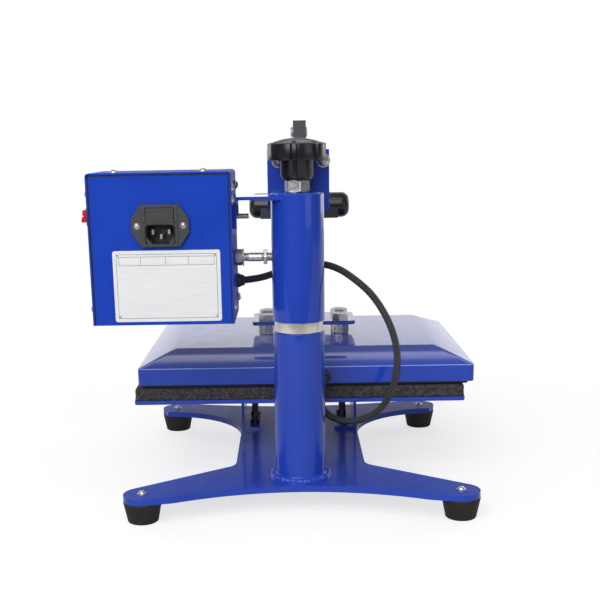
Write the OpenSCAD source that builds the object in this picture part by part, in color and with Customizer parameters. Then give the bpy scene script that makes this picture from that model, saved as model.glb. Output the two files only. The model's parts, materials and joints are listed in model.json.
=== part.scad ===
// Swing-away flat heat press: a footed base with a fixed lower platen, a post
// with a turning sleeve, and a head that a hand lever lowers with a toggle.
// Millimetres. The origin is on the bench under the axis of the post.
// +Z is up, +Y is the rear of the press, and the control box is on the +X side.

/* [Base] */
// Height of a rubber foot
foot_h = 20; // [14:1:30]
// Diameter of a rubber foot at its top
foot_top_d = 36; // [30:1:36]
// Diameter of a rubber foot where it stands
foot_bottom_d = 28; // [22:1:32]
// Thickness of the base plate
base_t = 6; // [4:0.5:8]
// Distance between the left and the right foot bolts
foot_spread = 292; // [270:1:320]
// Distance of the rear foot bolts behind the post axis
foot_rear = 48; // [40:1:60]
// Distance of the front foot bolts before the post axis
foot_front = 262; // [256:1:290]
// Radius of the rounded tip of a base arm
arm_tip_r = 17.5; // [15:0.5:19]
// Width of the middle part of the base plate
spine_w = 128; // [120:1:140]
// Diameter of the foot bolts
foot_bolt_d = 6; // [5:0.5:8]

/* [Post] */
// Outside diameter of the post tube and of the sleeve
post_d = 48; // [44:0.5:52]
// Length of the fixed post tube above the base plate
post_h = 141; // [130:1:160]
// Diameter of the round bar that the head turns on
spindle_d = 36; // [30:0.5:38]
// Height of the thrust ring between the post tube and the sleeve
ring_h = 10; // [6:0.1:14]
// Length of the turning sleeve
sleeve_h = 115.8; // [110:0.1:126]
// Wall of the turning sleeve
sleeve_wall = 4; // [3:0.25:5]
// Thickness of the cap on the sleeve
cap_t = 6; // [4:0.5:10]
// Length of each bronze bush in the sleeve
bush_h = 30; // [20:1:34]

/* [Pressure adjuster] */
// Diameter of the pressure screw
screw_d = 14; // [10:0.5:16]
// Width across the flats of the nut on the sleeve
adjuster_nut_af = 21; // [19:0.5:22]
// Height of the nut on the sleeve
adjuster_nut_h = 11; // [8:0.5:13]
// Free height between the nut and the knob, which is the head's travel
adjuster_gap = 3; // [2.8:0.1:6]
// Height of the domed crown on the knob
crown_h = 4.5; // [2:0.5:7]
// Diameter of the hub under the knob
hub_d = 30; // [28:1:34]
// Height of the hub under the knob
hub_h = 16.7; // [12:0.1:22]
// Outside diameter of the star knob
knob_d = 52.5; // [46:0.5:60]
// Height of the lobes of the star knob
knob_h = 15; // [12:0.5:20]
// Number of lobes of the star knob
knob_lobes = 8; // [6:1:10]

/* [Lower platen] */
// Height of the two brackets under the lower platen
support_h = 59.5; // [50:0.5:64]
// Length of a bracket under the lower platen, front to back
support_len = 70; // [50:1:90]
// Thickness of the sheet of a bracket
support_t = 3; // [2:0.25:4]
// Width of the flanges of a bracket
support_flange = 24; // [22:1:30]
// Width of the lower platen
platen_w = 328; // [300:1:340]
// Depth of the lower platen, front to back
platen_d = 250; // [230:1:270]
// Thickness of the lower platen
platen_t = 4; // [3:0.25:6]
// Distance of the rear edges of the platens before the post axis
platen_rear = 46; // [44:0.5:56]
// Thickness of the silicone sponge pad
pad_t = 12; // [8:0.5:16]
// How far the pad stays inside the edge of the lower platen
pad_margin = 0.5; // [0.5:0.5:6]

/* [Heating head] */
// Gap between the pad and the heating platen when the lever is down
press_gap = 0.3; // [0.2:0.1:1]
// How far the head stands to the -X side of the post axis
head_shift = 4; // [0:0.5:5]
// How far the heating platen stands to the -X side of the arm's middle
cover_shift = 2.5; // [0:0.5:4]
// Width of the heating platen
heater_w = 322; // [300:1:324]
// Depth of the heating platen, front to back
heater_d = 240; // [220:1:244]
// Thickness of the heating platen
heater_t = 16; // [14:0.5:18]
// Width of the head cover
cover_w = 332; // [328:1:342]
// Depth of the head cover, front to back
cover_d = 252; // [248:1:260]
// How far the heating platen shows under the head cover
cover_reveal = 3.2; // [1:0.2:5]
// Height of the upright side of the head cover
cover_side_h = 16.5; // [14:0.5:20]
// Height of the sloping part of the head cover
cover_rise = 14; // [10:0.5:20]
// Inset of the sloping part of the head cover
cover_slope = 35; // [25:1:45]
// Thickness of the sheet of the head cover
cover_sheet = 1.5; // [1:0.25:2.5]
// Thickness of the insulation board on the heating platen
board_t = 6; // [4:0.5:7]
// Diameter of the tube of the heating element
element_d = 8; // [6:0.5:9]
// Width of the mounting plate on the head
mount_w = 110; // [100:1:120]
// Depth of the mounting plate on the head
mount_d = 60; // [56:1:70]
// Thickness of the mounting plate on the head
mount_t = 4; // [3:0.5:6]
// Height of the nuts between the head cover and the mounting plate
mount_nut_h = 11; // [9:0.5:14]
// Distance between the mounting bolts across the head
mount_spread_x = 79; // [72:1:86]
// Distance between the mounting bolts front to back
mount_spread_y = 32; // [26:1:36]
// Diameter of the mounting bolts
mount_bolt_d = 10; // [8:0.5:10]

/* [Arm and toggle] */
// Width of the rear plate of the arm
arm_plate_w = 57; // [54:1:60]
// Height of the arm
arm_h = 55; // [50:1:58]
// How far the arm reaches down from the top of the sleeve
arm_drop = 18; // [16:0.5:20]
// Outside width of the two arm cheeks
cheek_w = 50; // [48:1:54]
// Thickness of the arm plates
arm_t = 4; // [3:0.5:5]
// Height of the lever's pin over the top of the arm
pin_rise = 17; // [16:0.5:20]
// Diameter of the three toggle pins
pin_d = 8; // [6:0.5:8]
// Distance between the lever's pin and the knee pin
crank_len = 26; // [25:0.5:28]
// Distance between the two holes of a link
link_len = 60; // [58:0.5:62]
// Angle of the crank before straight down when the press is closed
crank_angle = 10; // [8:0.5:12]
// Thickness of the lever plate and of the ram's tongue
lever_t = 6; // [5:0.25:6]
// Thickness of one link
link_t = 3; // [2.5:0.25:4]
// Diameter of the ram
ram_d = 20; // [16:0.5:22]
// Depth of the grip's axis below the lever's pin
grip_drop = 80.5; // [76:0.5:84]
// Distance of the grip's axis before the lever's pin
grip_reach = 80; // [76:0.5:86]
// Diameter of the grip
grip_d = 28; // [24:0.5:30]
// Length of the grip
grip_len = 114; // [100:1:124]

/* [Control box] */
// Width of the control box
box_w = 125; // [116:1:130]
// Height of the control box
box_h = 132; // [124:0.5:136]
// Depth of the control box, front to back
box_d = 80; // [78:1:90]
// Distance of the box's near side from the post axis
box_x = 57; // [52:0.5:64]
// Distance of the box's rear edge behind the post axis
box_rear = 44; // [40:0.5:46]
// How far the box stands over the top of the sleeve
box_over = 20.5; // [14:0.5:24]
// Thickness of the sheet of the control box
box_sheet = 1.5; // [1:0.25:2]
// Width of the face of the temperature controller
controller_w = 72; // [66:1:76]
// Diameter of the stay between the sleeve and the box
stay_d = 8; // [6:0.5:10]
// Diameter of the lead between the box and the head
cable_d = 6.5; // [5:0.25:7]

/* [Clearances] */
// Radial clearance of a bore round its shaft or pin
fit = 0.05; // [0.03:0.01:0.08]
// Clearance between flat parts that move past each other
slip = 0.3; // [0.25:0.05:0.4]

/* [Hidden] */
$fn = 64;
tiny = 0.01;

base_top = foot_h + base_t;
post_top = base_top + post_h;
sleeve_bottom = post_top + ring_h + 0.2;
sleeve_top = sleeve_bottom + sleeve_h;
ring_d = post_d - 3;
nut_top = sleeve_top + adjuster_nut_h;
hub_bottom = nut_top + slip;
nut_room_d = adjuster_nut_af / cos(30) + 2 * slip;
knob_bottom = hub_bottom + hub_h;
screw_bottom = sleeve_top - cap_t - 6;
screw_top = knob_bottom + knob_h / 2;
spindle_top = screw_bottom - slip;
spindle_bottom = base_top;

support_x = spine_w / 2 - 0.5;
support_rear = 159;
stud_x = support_x - 14;
stud_inset = 18;
platen_bottom = base_top + support_h;
pad_bottom = platen_bottom + platen_t;
pad_top = pad_bottom + pad_t;
platen_y = -platen_rear - platen_d / 2;

head_x = -head_shift;
cover_x = head_x - cover_shift;
arm_plate_x = head_x + 2.5;
heater_bottom = pad_top + press_gap;
heater_top = heater_bottom + heater_t;
cover_y = -platen_rear - cover_d / 2;
cover_bottom = heater_bottom + cover_reveal;
cover_shoulder = cover_bottom + cover_side_h;
cover_top = cover_shoulder + cover_rise;
mount_bottom = cover_top + mount_nut_h;
mount_top = mount_bottom + mount_t;
mount_head_h = 6.4;
mount_nut_af = 16;
groove = element_d + 0.6;
element_rows = [-78, -30, 30, 78];
element_half = 112;

arm_bottom = sleeve_top - arm_drop;
arm_top = arm_bottom + arm_h;
arm_plate_y = -post_d / 2 - 3;
arm_front_y = cover_y - 33;
cheek_inner = cheek_w / 2 - arm_t;
saddle_drop = 33;
saddle_w = 40;
dome_spread = 41;
spacer_depth = 20;
pin_y = cover_y;
pin_z = arm_top + pin_rise;
knee = [pin_y - crank_len * sin(crank_angle), pin_z - crank_len * cos(crank_angle)];
link_angle = asin(crank_len * sin(crank_angle) / link_len);
ram_pin_z = knee[1] - link_len * cos(link_angle);
side_x = lever_t / 2 + slip;
ram_shoulder = ram_pin_z - 14.5;
guide_h = 37;
guide_top = ram_shoulder - 4;
clevis_rear = pin_y + 72;
clevis_depth = 40;
lug_w = 21;
hub_r = 11;
link_r = 8;
grip_y = pin_y - grip_reach;
grip_z = pin_z - grip_drop;
yoke_w = 88;
yoke_h = 12;
yoke_t = 5;

box_top = sleeve_top + box_over;
box_bottom = box_top - box_h;
box_mid = box_x + box_w / 2;
box_front = box_rear - box_d;
wall_rear = box_rear - 1;
wall_front = box_front + 1;
bracket_z = sleeve_top - 2.5;
bracket_w = 40;
bracket_t = 3;
stay_z = sleeve_top - 57.5;
lip = 12;
inlet = [box_mid - 0.5, sleeve_top - 24.7];
switch_pos = [box_rear - 8, sleeve_top - 16.5];
switch_w = 10.5;
switch_h = 15;
panel_z = box_bottom + box_h / 2 + 4;
plate_gap = 3;
display_w = controller_w - 16;
display_h = controller_w / 2 - 2;
relay = [58, 44, 22];
key_w = 10;
key_h = 6;
key_pitch = 14.5;
key_z = panel_z - controller_w / 2 + 12;
gland_x = -25;
gland_z = cover_bottom + 7.4;
gland_d = 13;
gland_bore = cable_d + 1.2;
lead_z = box_bottom + 30;

// Places along the lead from the box to the head, chosen along the photographed loop
cable_route = [
    [box_x + 9, -22, lead_z], [box_x, -22, lead_z], [box_x - 10, -22.5, lead_z + 0.5],
    [34, -26, 213.5], [20, -31.5, 217],
    [6, -36, 220.5], [-10, -37.5, 223.5], [-25, -35, 223.5], [-39, -28, 219.5],
    [-53, -18, 211], [-67, -8, 199], [-78, -1, 183.5], [-86, 4, 166], [-90.5, 6, 146],
    [-90, 5, 125], [-84.5, 1, 103.5], [-74.5, -6, 87], [-60, -15, 76.5], [-44, -24, 72.5],
    [-30, -30, 75.5], [-22, -31.5, 85.5], [-21.5, -30.5, 97.5], [-23.5, -32.5, 106.5],
    [-25, -37.5, 111.6], [-25, -44.5, 112.4], [-25, -51, 112.4]];
cable_sides = 10;
cable_steps = 3;

// A flat shape drawn in Y and Z, given a thickness along +X from x0
module yz_plate(t, x0) {
    translate([x0, 0, 0]) rotate([90, 0, 90]) linear_extrude(t) children();
}

// A flat shape drawn in X and Z, given a thickness along +Y from y0
module xz_plate(t, y0) {
    translate([0, y0 + t, 0]) rotate([90, 0, 0]) linear_extrude(t) children();
}

module rod_x(d, x0, x1) {
    translate([x0, 0, 0]) rotate([0, 90, 0]) cylinder(d = d, h = x1 - x0);
}

module rod_y(d, y0, y1) {
    translate([0, y0, 0]) rotate([-90, 0, 0]) cylinder(d = d, h = y1 - y0);
}

// A low round head on the plane z = 0
module dome(d, h) {
    r = (d * d / 4 + h * h) / (2 * h);
    rotate_extrude() intersection() {
        translate([0, h - r]) circle(r);
        square([d / 2, h]);
    }
}

module hex(af, h) {
    cylinder(d = af / cos(30), h = h, $fn = 6);
}

module rounded_rect(w, d, r) {
    hull() {
        for (x = [-1, 1]) {
            for (y = [-1, 1]) translate([x * (w / 2 - r), y * (d / 2 - r)]) circle(r, $fn = 32);
        }
    }
}

module at_feet() {
    for (x = [-1, 1]) {
        for (y = [foot_rear, -foot_front]) translate([x * foot_spread / 2, y, 0]) children();
    }
}

module at_studs() {
    for (x = [-1, 1]) {
        for (y = [support_rear + stud_inset, support_rear + support_len - stud_inset]) {
            translate([x * stud_x, -y, 0]) children();
        }
    }
}

module at_mount_bolts() {
    for (x = [-1, 1]) {
        for (y = [-1, 1]) {
            translate([cover_x + x * mount_spread_x / 2, cover_y + y * mount_spread_y / 2, 0])
                children();
        }
    }
}

// ---- Base ----

module base_outline() {
    rear_edge = foot_rear - 15;
    rear_arc = 275;
    front_arc = 491;
    sweep_r = foot_front - 170;
    difference() {
        union() {
            translate([-spine_w / 2, -foot_front]) square([spine_w, foot_front + foot_rear]);
            for (side = [-1, 1]) {
                // Rear arm, which narrows to its rounded tip
                hull() {
                    translate([side * foot_spread / 2, foot_rear]) circle(arm_tip_r);
                    translate([side * spine_w / 2 - 1, -32]) square([2, foot_rear + 30]);
                }
                // Front arm, which sweeps out of the middle part
                hull() {
                    translate([side * foot_spread / 2, -foot_front]) circle(arm_tip_r);
                    translate([0, -foot_front]) circle(arm_tip_r);
                }
                difference() {
                    translate([side > 0 ? spine_w / 2 - 1 : -spine_w / 2 - sweep_r, -foot_front])
                        square([sweep_r + 1, foot_front - 150]);
                    translate([side * (spine_w / 2 + sweep_r), -150]) circle(sweep_r);
                }
            }
        }
        translate([0, rear_edge + rear_arc]) circle(rear_arc, $fn = 128);
        translate([0, -foot_front - front_arc]) circle(front_arc, $fn = 180);
    }
}

module base_frame() {
    color("royalblue") difference() {
        translate([0, 0, foot_h]) linear_extrude(base_t)
            offset(r = -16) offset(r = 16) base_outline();
        at_feet() translate([0, 0, foot_h - 1]) cylinder(d = foot_bolt_d + 0.4, h = base_t + 2);
        at_studs() translate([0, 0, foot_h - 1]) cylinder(d = stud_d + 0.4, h = base_t + 2);
    }
}

module rubber_feet() {
    color("#1a1a1a") at_feet() difference() {
        cylinder(d1 = foot_bottom_d, d2 = foot_top_d, h = foot_h);
        translate([0, 0, 6]) cylinder(d = foot_bolt_d + 0.1, h = foot_h);
        translate([0, 0, -1]) cylinder(d = foot_bottom_d / 2, h = 4);
    }
}

module foot_bolts() {
    color("silver") at_feet() {
        translate([0, 0, 7]) cylinder(d = foot_bolt_d, h = base_top - 7 + tiny);
        translate([0, 0, base_top]) hex(foot_bolt_d + 2, 3.2);
    }
}

module post_tube() {
    weld = 5;
    color("royalblue") difference() {
        union() {
            translate([0, 0, base_top]) cylinder(d = post_d, h = post_h);
            translate([0, 0, base_top]) cylinder(d1 = post_d + 2 * weld, d2 = post_d, h = weld);
        }
        translate([0, 0, base_top - 1]) cylinder(d = spindle_d + 2 * fit, h = post_h + 2);
    }
}

module spindle() {
    color("silver") translate([0, 0, spindle_bottom])
        cylinder(d = spindle_d, h = spindle_top - spindle_bottom);
}

stud_d = 6;

module support_profile(side) {
    outer = side * support_x;
    for (z = [base_top, platen_bottom - support_t]) {
        translate([side > 0 ? outer - support_flange : outer, z])
            square([support_flange, support_t]);
    }
    translate([side > 0 ? outer - support_t : outer, base_top]) square([support_t, support_h]);
}

module platen_supports() {
    color("royalblue") difference() {
        for (side = [-1, 1]) {
            xz_plate(support_len, -support_rear - support_len) support_profile(side);
        }
        at_studs() translate([0, 0, base_top - 1]) cylinder(d = stud_d + 0.4, h = support_h + 2);
    }
}

module support_studs() {
    color("#202020") at_studs() translate([0, 0, foot_h - 6])
        cylinder(d = stud_d, h = platen_bottom + platen_t - 1 - foot_h + 6);
}

module support_nuts() {
    nut_h = 5;
    color("#303030") at_studs() {
        for (z = [foot_h - nut_h, base_top + support_t, platen_bottom - support_t - nut_h]) {
            translate([0, 0, z]) difference() {
                hex(stud_d + 4, nut_h);
                translate([0, 0, -1]) cylinder(d = stud_d + 0.02, h = nut_h + 2);
            }
        }
    }
}

module lower_platen() {
    color("mediumblue") difference() {
        translate([0, platen_y, platen_bottom]) linear_extrude(platen_t)
            rounded_rect(platen_w, platen_d, 4);
        at_studs() translate([0, 0, platen_bottom - 1]) cylinder(d = stud_d + 0.2, h = platen_t);
    }
}

module silicone_pad() {
    color("#333333") translate([0, platen_y, pad_bottom]) linear_extrude(pad_t)
        rounded_rect(platen_w - 2 * pad_margin, platen_d - 2 * pad_margin, 4);
}

// ---- Swing ring and pressure adjuster ----

module thrust_ring() {
    color("gainsboro") difference() {
        translate([0, 0, post_top + 0.1]) cylinder(d = ring_d, h = ring_h);
        translate([0, 0, post_top - 1]) cylinder(d = spindle_d + 2 * fit, h = ring_h + 2);
    }
}

module star_knob() {
    lobe_r = knob_d * 0.14;
    color("#1c1c1c") difference() {
        union() {
            translate([0, 0, hub_bottom]) cylinder(d1 = hub_d - 3.4, d2 = hub_d, h = 3);
            translate([0, 0, hub_bottom + 3]) cylinder(d = hub_d, h = hub_h - 3 + tiny);
            translate([0, 0, knob_bottom]) linear_extrude(knob_h) {
                circle(d = knob_d - 2 * lobe_r + 3);
                for (i = [0:knob_lobes - 1]) {
                    rotate(i * 360 / knob_lobes) translate([knob_d / 2 - lobe_r, 0]) circle(lobe_r);
                }
            }
            translate([0, 0, knob_bottom + knob_h - tiny]) dome(knob_d - 14, crown_h);
        }
        translate([0, 0, hub_bottom - 1]) cylinder(d = nut_room_d, h = adjuster_gap - slip + 1);
        translate([0, 0, hub_bottom - 1]) cylinder(d = screw_d + 0.02, h = screw_top - hub_bottom + 1);
    }
}

module pressure_screw() {
    color("silver") translate([0, 0, screw_bottom]) cylinder(d = screw_d, h = screw_top - screw_bottom);
}

// ---- Sleeve and arm ----

module sleeve() {
    bore_d = post_d - 2 * sleeve_wall;
    bevel = 1.5;
    color("royalblue") difference() {
        union() {
            translate([0, 0, sleeve_bottom]) cylinder(d = post_d, h = sleeve_h - bevel);
            translate([0, 0, sleeve_top - bevel])
                cylinder(d1 = post_d, d2 = post_d - 2 * bevel, h = bevel);
            translate([head_x - saddle_w / 2 + 2, arm_plate_y, arm_bottom - saddle_drop])
                cube([saddle_w - 4, 9, arm_drop + saddle_drop - 2]);
        }
        translate([0, 0, sleeve_bottom - 1]) cylinder(d = bore_d, h = sleeve_h - cap_t + 1);
        translate([0, 0, sleeve_top - cap_t - 1]) cylinder(d = screw_d + 2 * fit, h = cap_t + 2);
        translate([0, 0, stay_z]) rod_x(stay_d, bore_d / 2 - 4, post_d);
        at_saddle_screws() rod_y(6, arm_plate_y - 1, arm_plate_y + 6);
    }
}

module sleeve_bushes() {
    outer = post_d - 2 * sleeve_wall - 0.04;
    color("peru") for (z = [sleeve_bottom + 2, sleeve_top - cap_t - bush_h - 2]) {
        translate([0, 0, z]) difference() {
            cylinder(d = outer, h = bush_h);
            translate([0, 0, -1]) cylinder(d = spindle_d + 2 * fit, h = bush_h + 2);
        }
    }
}

module adjuster_nut() {
    color("silver") translate([0, 0, sleeve_top]) rotate(-18) difference() {
        hex(adjuster_nut_af, adjuster_nut_h);
        translate([0, 0, -1]) cylinder(d = screw_d + 2 * fit, h = adjuster_nut_h + 2);
    }
}

module at_saddle_screws() {
    for (x = [-1, 1]) {
        for (z = [arm_bottom - saddle_drop + 9, arm_bottom - 9]) {
            translate([head_x + x * 12, 0, z]) children();
        }
    }
}

// Screws through the cheeks: [y, z] at the spacer and the clevis, and at the ram guide
spacer_screws = [
    [arm_plate_y - arm_t - spacer_depth / 2, arm_bottom + 12],
    [clevis_rear - 10, arm_bottom + 33], [clevis_rear - clevis_depth + 10, arm_bottom + 33]];
guide_screws = [
    [pin_y + 14, guide_top - guide_h / 2], [pin_y - 14, guide_top - guide_h / 2]];

module at_cheek_screws(places = concat(spacer_screws, guide_screws)) {
    for (side = [-1, 1]) {
        for (p = places) {
            translate([head_x, p[0], p[1]]) rotate([0, side * 90, 0]) children();
        }
    }
}

module arm_frame() {
    rear = arm_plate_y - arm_t;
    color("royalblue") difference() {
        union() {
            for (x = [-cheek_w / 2, cheek_inner]) {
                yz_plate(arm_t, head_x + x) polygon([[rear, arm_bottom], [rear, arm_top],
                    [arm_front_y + 15, arm_top], [arm_front_y, arm_top - 15],
                    [arm_front_y, guide_top - guide_h], [pin_y + 20, guide_top - guide_h],
                    [pin_y + 20, arm_bottom - 13], [pin_y + 33, arm_bottom]]);
            }
            translate([head_x - cheek_inner - 1, rear - spacer_depth, arm_bottom + 2])
                cube([2 * cheek_inner + 2, spacer_depth, arm_h - 4]);
        }
        at_cheek_screws() cylinder(d = 6, h = cheek_w);
        at_dome_bolts() rod_y(6, rear - 14, rear + 1);
    }
}

module at_dome_bolts() {
    for (x = [-1, 1]) translate([head_x + x * dome_spread / 2, 0, arm_top - 10]) children();
}

module arm_plate() {
    rear = arm_plate_y - arm_t;
    color("royalblue") difference() {
        xz_plate(arm_t, rear) {
            translate([arm_plate_x - arm_plate_w / 2, arm_bottom]) square([arm_plate_w, arm_h]);
            translate([head_x - saddle_w / 2, arm_bottom - saddle_drop])
                square([saddle_w, saddle_drop + 1]);
        }
        at_dome_bolts() rod_y(6.4, rear - 1, rear + arm_t + 1);
        at_saddle_screws() rod_y(6.4, rear - 1, rear + arm_t + 1);
    }
}

module arm_bolts() {
    rear = arm_plate_y;
    color("silver") at_dome_bolts() {
        rod_y(5.96, rear - arm_t - 12, rear + tiny);
        translate([0, rear, 0]) rotate([-90, 0, 0]) dome(10.5, 3.6);
    }
}

module arm_screws() {
    front = arm_plate_y - arm_t;
    color("#2a2a2a") {
        at_saddle_screws() {
            rod_y(5.96, front - tiny, arm_plate_y + 5);
            rod_y(10, front - 5, front);
        }
        at_cheek_screws() translate([0, 0, cheek_inner - 8]) cylinder(d = 5.96, h = arm_t + 8 + tiny);
        at_cheek_screws(spacer_screws) translate([0, 0, cheek_w / 2]) dome(10, 3.4);
    }
}

// ---- Lever, toggle and ram ----

module clevis_outline() {
    translate([pin_y, pin_z]) circle(hub_r);
    translate([pin_y, pin_z - lug_w / 2]) square([clevis_rear - 6 - pin_y, lug_w]);
    translate([clevis_rear - 6 - lug_w, arm_top - 8])
        square([lug_w, pin_z + lug_w / 2 - arm_top + 8]);
}

module lever_clevis() {
    color("#4a4d52") difference() {
        union() {
            for (x = [side_x, -side_x - link_t]) yz_plate(link_t, head_x + x) clevis_outline();
            translate([head_x - cheek_inner + 0.1, clevis_rear - clevis_depth, arm_top - 38])
                cube([2 * cheek_inner - 0.2, clevis_depth, 34]);
            translate([head_x - side_x - 1, clevis_rear - 16, arm_top - 5])
                cube([2 * side_x + 2, 10, pin_z + lug_w / 2 - arm_top + 5]);
        }
        translate([head_x, pin_y, pin_z]) rod_x(pin_d + 2 * fit, -20, 20);
        at_clevis_screws();
    }
}

// Tapped holes for the cheek screws, as deep as the screws reach
module at_clevis_screws() {
    at_cheek_screws() translate([0, 0, cheek_inner - 9]) cylinder(d = 6, h = 20);
}

module toggle_pin(y, z) {
    half = side_x + link_t + slip;
    translate([head_x, y, z]) {
        rod_x(pin_d, -half - tiny, half + tiny);
        for (side = [-1, 1]) rotate([0, side * 90, 0]) translate([0, 0, half]) dome(pin_d + 3, 2.6);
    }
}

module lever_pin() {
    color("gray") toggle_pin(pin_y, pin_z);
}

module knee_pin() {
    color("gray") toggle_pin(knee[0], knee[1]);
}

module ram_pin() {
    color("gray") toggle_pin(pin_y, ram_pin_z);
}

module lever() {
    bar_w = 20;
    bar_angle = atan2(-grip_drop + 2, -grip_reach + 9);
    bar_len = norm([grip_reach - 9, grip_drop - 2]);
    color("#4a4d52") difference() {
        union() {
            yz_plate(lever_t, head_x - lever_t / 2) {
                translate([pin_y, pin_z]) circle(hub_r);
                translate(knee) circle(link_r + 1);
                translate([pin_y, pin_z]) rotate(-90 - crank_angle)
                    translate([0, -link_r]) square([crank_len, 2 * link_r]);
                translate([pin_y, pin_z]) rotate(bar_angle)
                    translate([0, -bar_w / 2]) square([bar_len, bar_w]);
            }
            translate([head_x - yoke_w / 2, grip_y + grip_d / 2 - yoke_t, grip_z - grip_d / 2])
                cube([yoke_w, yoke_t, yoke_h]);
        }
        translate([head_x, pin_y, pin_z]) rod_x(pin_d + 2 * fit, -20, 20);
        translate([head_x, knee[0], knee[1]]) rod_x(pin_d, -20, 20);
        translate([head_x, grip_y, grip_z]) rod_x(grip_d - 9, -lever_t, lever_t);
    }
}

module handle_grip() {
    end_r = 9;
    color("#161616") difference() {
        translate([head_x, grip_y, grip_z]) rotate([0, 90, 0]) rotate_extrude() intersection() {
            union() {
                translate([0, -grip_len / 2 + end_r]) square([grip_d / 2, grip_len - 2 * end_r]);
                translate([0, -grip_len / 2]) square([grip_d / 2 - end_r, grip_len]);
                for (z = [-1, 1]) {
                    translate([grip_d / 2 - end_r, z * (grip_len / 2 - end_r)]) circle(end_r);
                }
            }
            translate([0, -grip_len]) square([grip_d, 2 * grip_len]);
        }
        translate([head_x - yoke_w / 2 - 0.1, grip_y + grip_d / 2 - yoke_t - 0.1, grip_z - grip_d])
            cube([yoke_w + 0.2, grip_d, grip_d / 2 + yoke_h + 0.1]);
        translate([head_x - lever_t / 2 - 0.1, grip_y - grip_d / 2 + 4, grip_z - grip_d])
            cube([lever_t + 0.2, grip_d, 2 * grip_d]);
    }
}

module links() {
    color("#4a4d52") difference() {
        for (x = [side_x, -side_x - link_t]) {
            yz_plate(link_t, head_x + x) {
                translate(knee) circle(link_r);
                translate([pin_y, ram_pin_z]) circle(link_r);
                translate(knee) rotate(-90 + link_angle) translate([0, -link_r + 0.4])
                    square([link_len, 2 * link_r - 0.8]);
            }
        }
        translate([head_x, knee[0], knee[1]]) rod_x(pin_d + 2 * fit, -20, 20);
        translate([head_x, pin_y, ram_pin_z]) rod_x(pin_d, -20, 20);
    }
}

// The pin slides a little in this slot while the toggle opens
module ram_slot() {
    slot_d = pin_d + 1.2;
    drift = [-2.7, -4.2];
    translate([pin_y, ram_pin_z]) circle(d = slot_d);
    translate([pin_y, ram_pin_z] + drift) circle(d = slot_d);
    translate([pin_y, ram_pin_z] + drift / 2) rotate(atan2(drift[1], drift[0]))
        square([norm(drift), slot_d - 0.3], center = true);
}

module ram() {
    tongue_w = 26;
    color("silver") {
        translate([head_x, pin_y, mount_top]) cylinder(d = ram_d + 24, h = 5);
        translate([head_x, pin_y, mount_top + 4]) cylinder(d = ram_d, h = ram_shoulder - mount_top - 4);
        yz_plate(lever_t, head_x - lever_t / 2) difference() {
            translate([pin_y - tongue_w / 2 - 1, ram_shoulder - 1])
                square([tongue_w, ram_pin_z + 10 - ram_shoulder + 1]);
            ram_slot();
        }
    }
}

module ram_guide() {
    color("#8a8d92") difference() {
        translate([head_x - cheek_inner + 0.1, pin_y - 20, guide_top - guide_h])
            cube([2 * cheek_inner - 0.2, 40, guide_h]);
        translate([head_x, pin_y, guide_top - guide_h - 1])
            cylinder(d = ram_d + 2 * fit, h = guide_h + 2);
        at_clevis_screws();
    }
}

// ---- Heating head ----

module mounting_plate() {
    color("royalblue") difference() {
        translate([cover_x, cover_y, mount_bottom]) linear_extrude(mount_t)
            rounded_rect(mount_w, mount_d, 6);
        at_mount_bolts() translate([0, 0, mount_bottom - 1])
            cylinder(d = mount_bolt_d + 0.4, h = mount_t + 2);
    }
}

module mounting_bolts() {
    color("#2b2b2b") at_mount_bolts() {
        translate([0, 0, heater_top - 9])
            cylinder(d = mount_bolt_d, h = mount_top - heater_top + 9 + tiny);
        translate([0, 0, mount_top]) hex(mount_nut_af, mount_head_h);
    }
}

module mounting_nuts() {
    inner_h = 8;
    color("#2b2b2b") at_mount_bolts() {
        for (p = [[cover_top, mount_nut_h], [cover_top - cover_sheet - inner_h, inner_h]]) {
            translate([0, 0, p[0]]) difference() {
                hex(mount_nut_af, p[1]);
                translate([0, 0, -1]) cylinder(d = mount_bolt_d + 0.02, h = p[1] + 2);
            }
        }
    }
}

// The cover's form, drawn in by the given wall
module cover_form(wall) {
    drop = wall > 0 ? 1 : 0;
    hull() {
        translate([cover_x, cover_y, cover_bottom - drop]) linear_extrude(cover_side_h + drop)
            rounded_rect(cover_w - 2 * wall, cover_d - 2 * wall, 5);
        translate([cover_x, cover_y, cover_shoulder]) linear_extrude(cover_rise - wall)
            rounded_rect(cover_w - 2 * cover_slope - wall, cover_d - 2 * cover_slope - wall, 4);
    }
}

module head_cover() {
    color("royalblue") difference() {
        cover_form(0);
        cover_form(cover_sheet);
        at_mount_bolts() translate([0, 0, cover_shoulder])
            cylinder(d = mount_bolt_d + 0.6, h = cover_rise + 2);
        translate([gland_x, 0, gland_z]) rod_y(gland_d - 3, -platen_rear - 4, -platen_rear + 2);
    }
}

// The element's path in the heating platen, as a flat line of the given width
module element_path(w) {
    for (y = element_rows) {
        translate([-element_half, y - w / 2]) square([2 * element_half, w]);
    }
    for (i = [0:len(element_rows) - 2]) {
        side = i % 2 == 0 ? 1 : -1;
        r = (element_rows[i + 1] - element_rows[i]) / 2;
        translate([side * element_half, (element_rows[i + 1] + element_rows[i]) / 2])
            intersection() {
                difference() {
                    circle(r + w / 2);
                    circle(r - w / 2);
                }
                translate([side > 0 ? 0 : -2 * r, -2 * r]) square([2 * r, 4 * r]);
            }
    }
}

module heating_platen() {
    color("#9a9ca0") difference() {
        translate([cover_x, cover_y, heater_bottom]) linear_extrude(heater_t)
            rounded_rect(heater_w, heater_d, 4);
        translate([cover_x, cover_y, heater_top - groove]) linear_extrude(groove + 1)
            element_path(groove);
        at_mount_bolts() translate([0, 0, heater_top - 10])
            cylinder(d = mount_bolt_d + 0.04, h = 12);
    }
}

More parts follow.
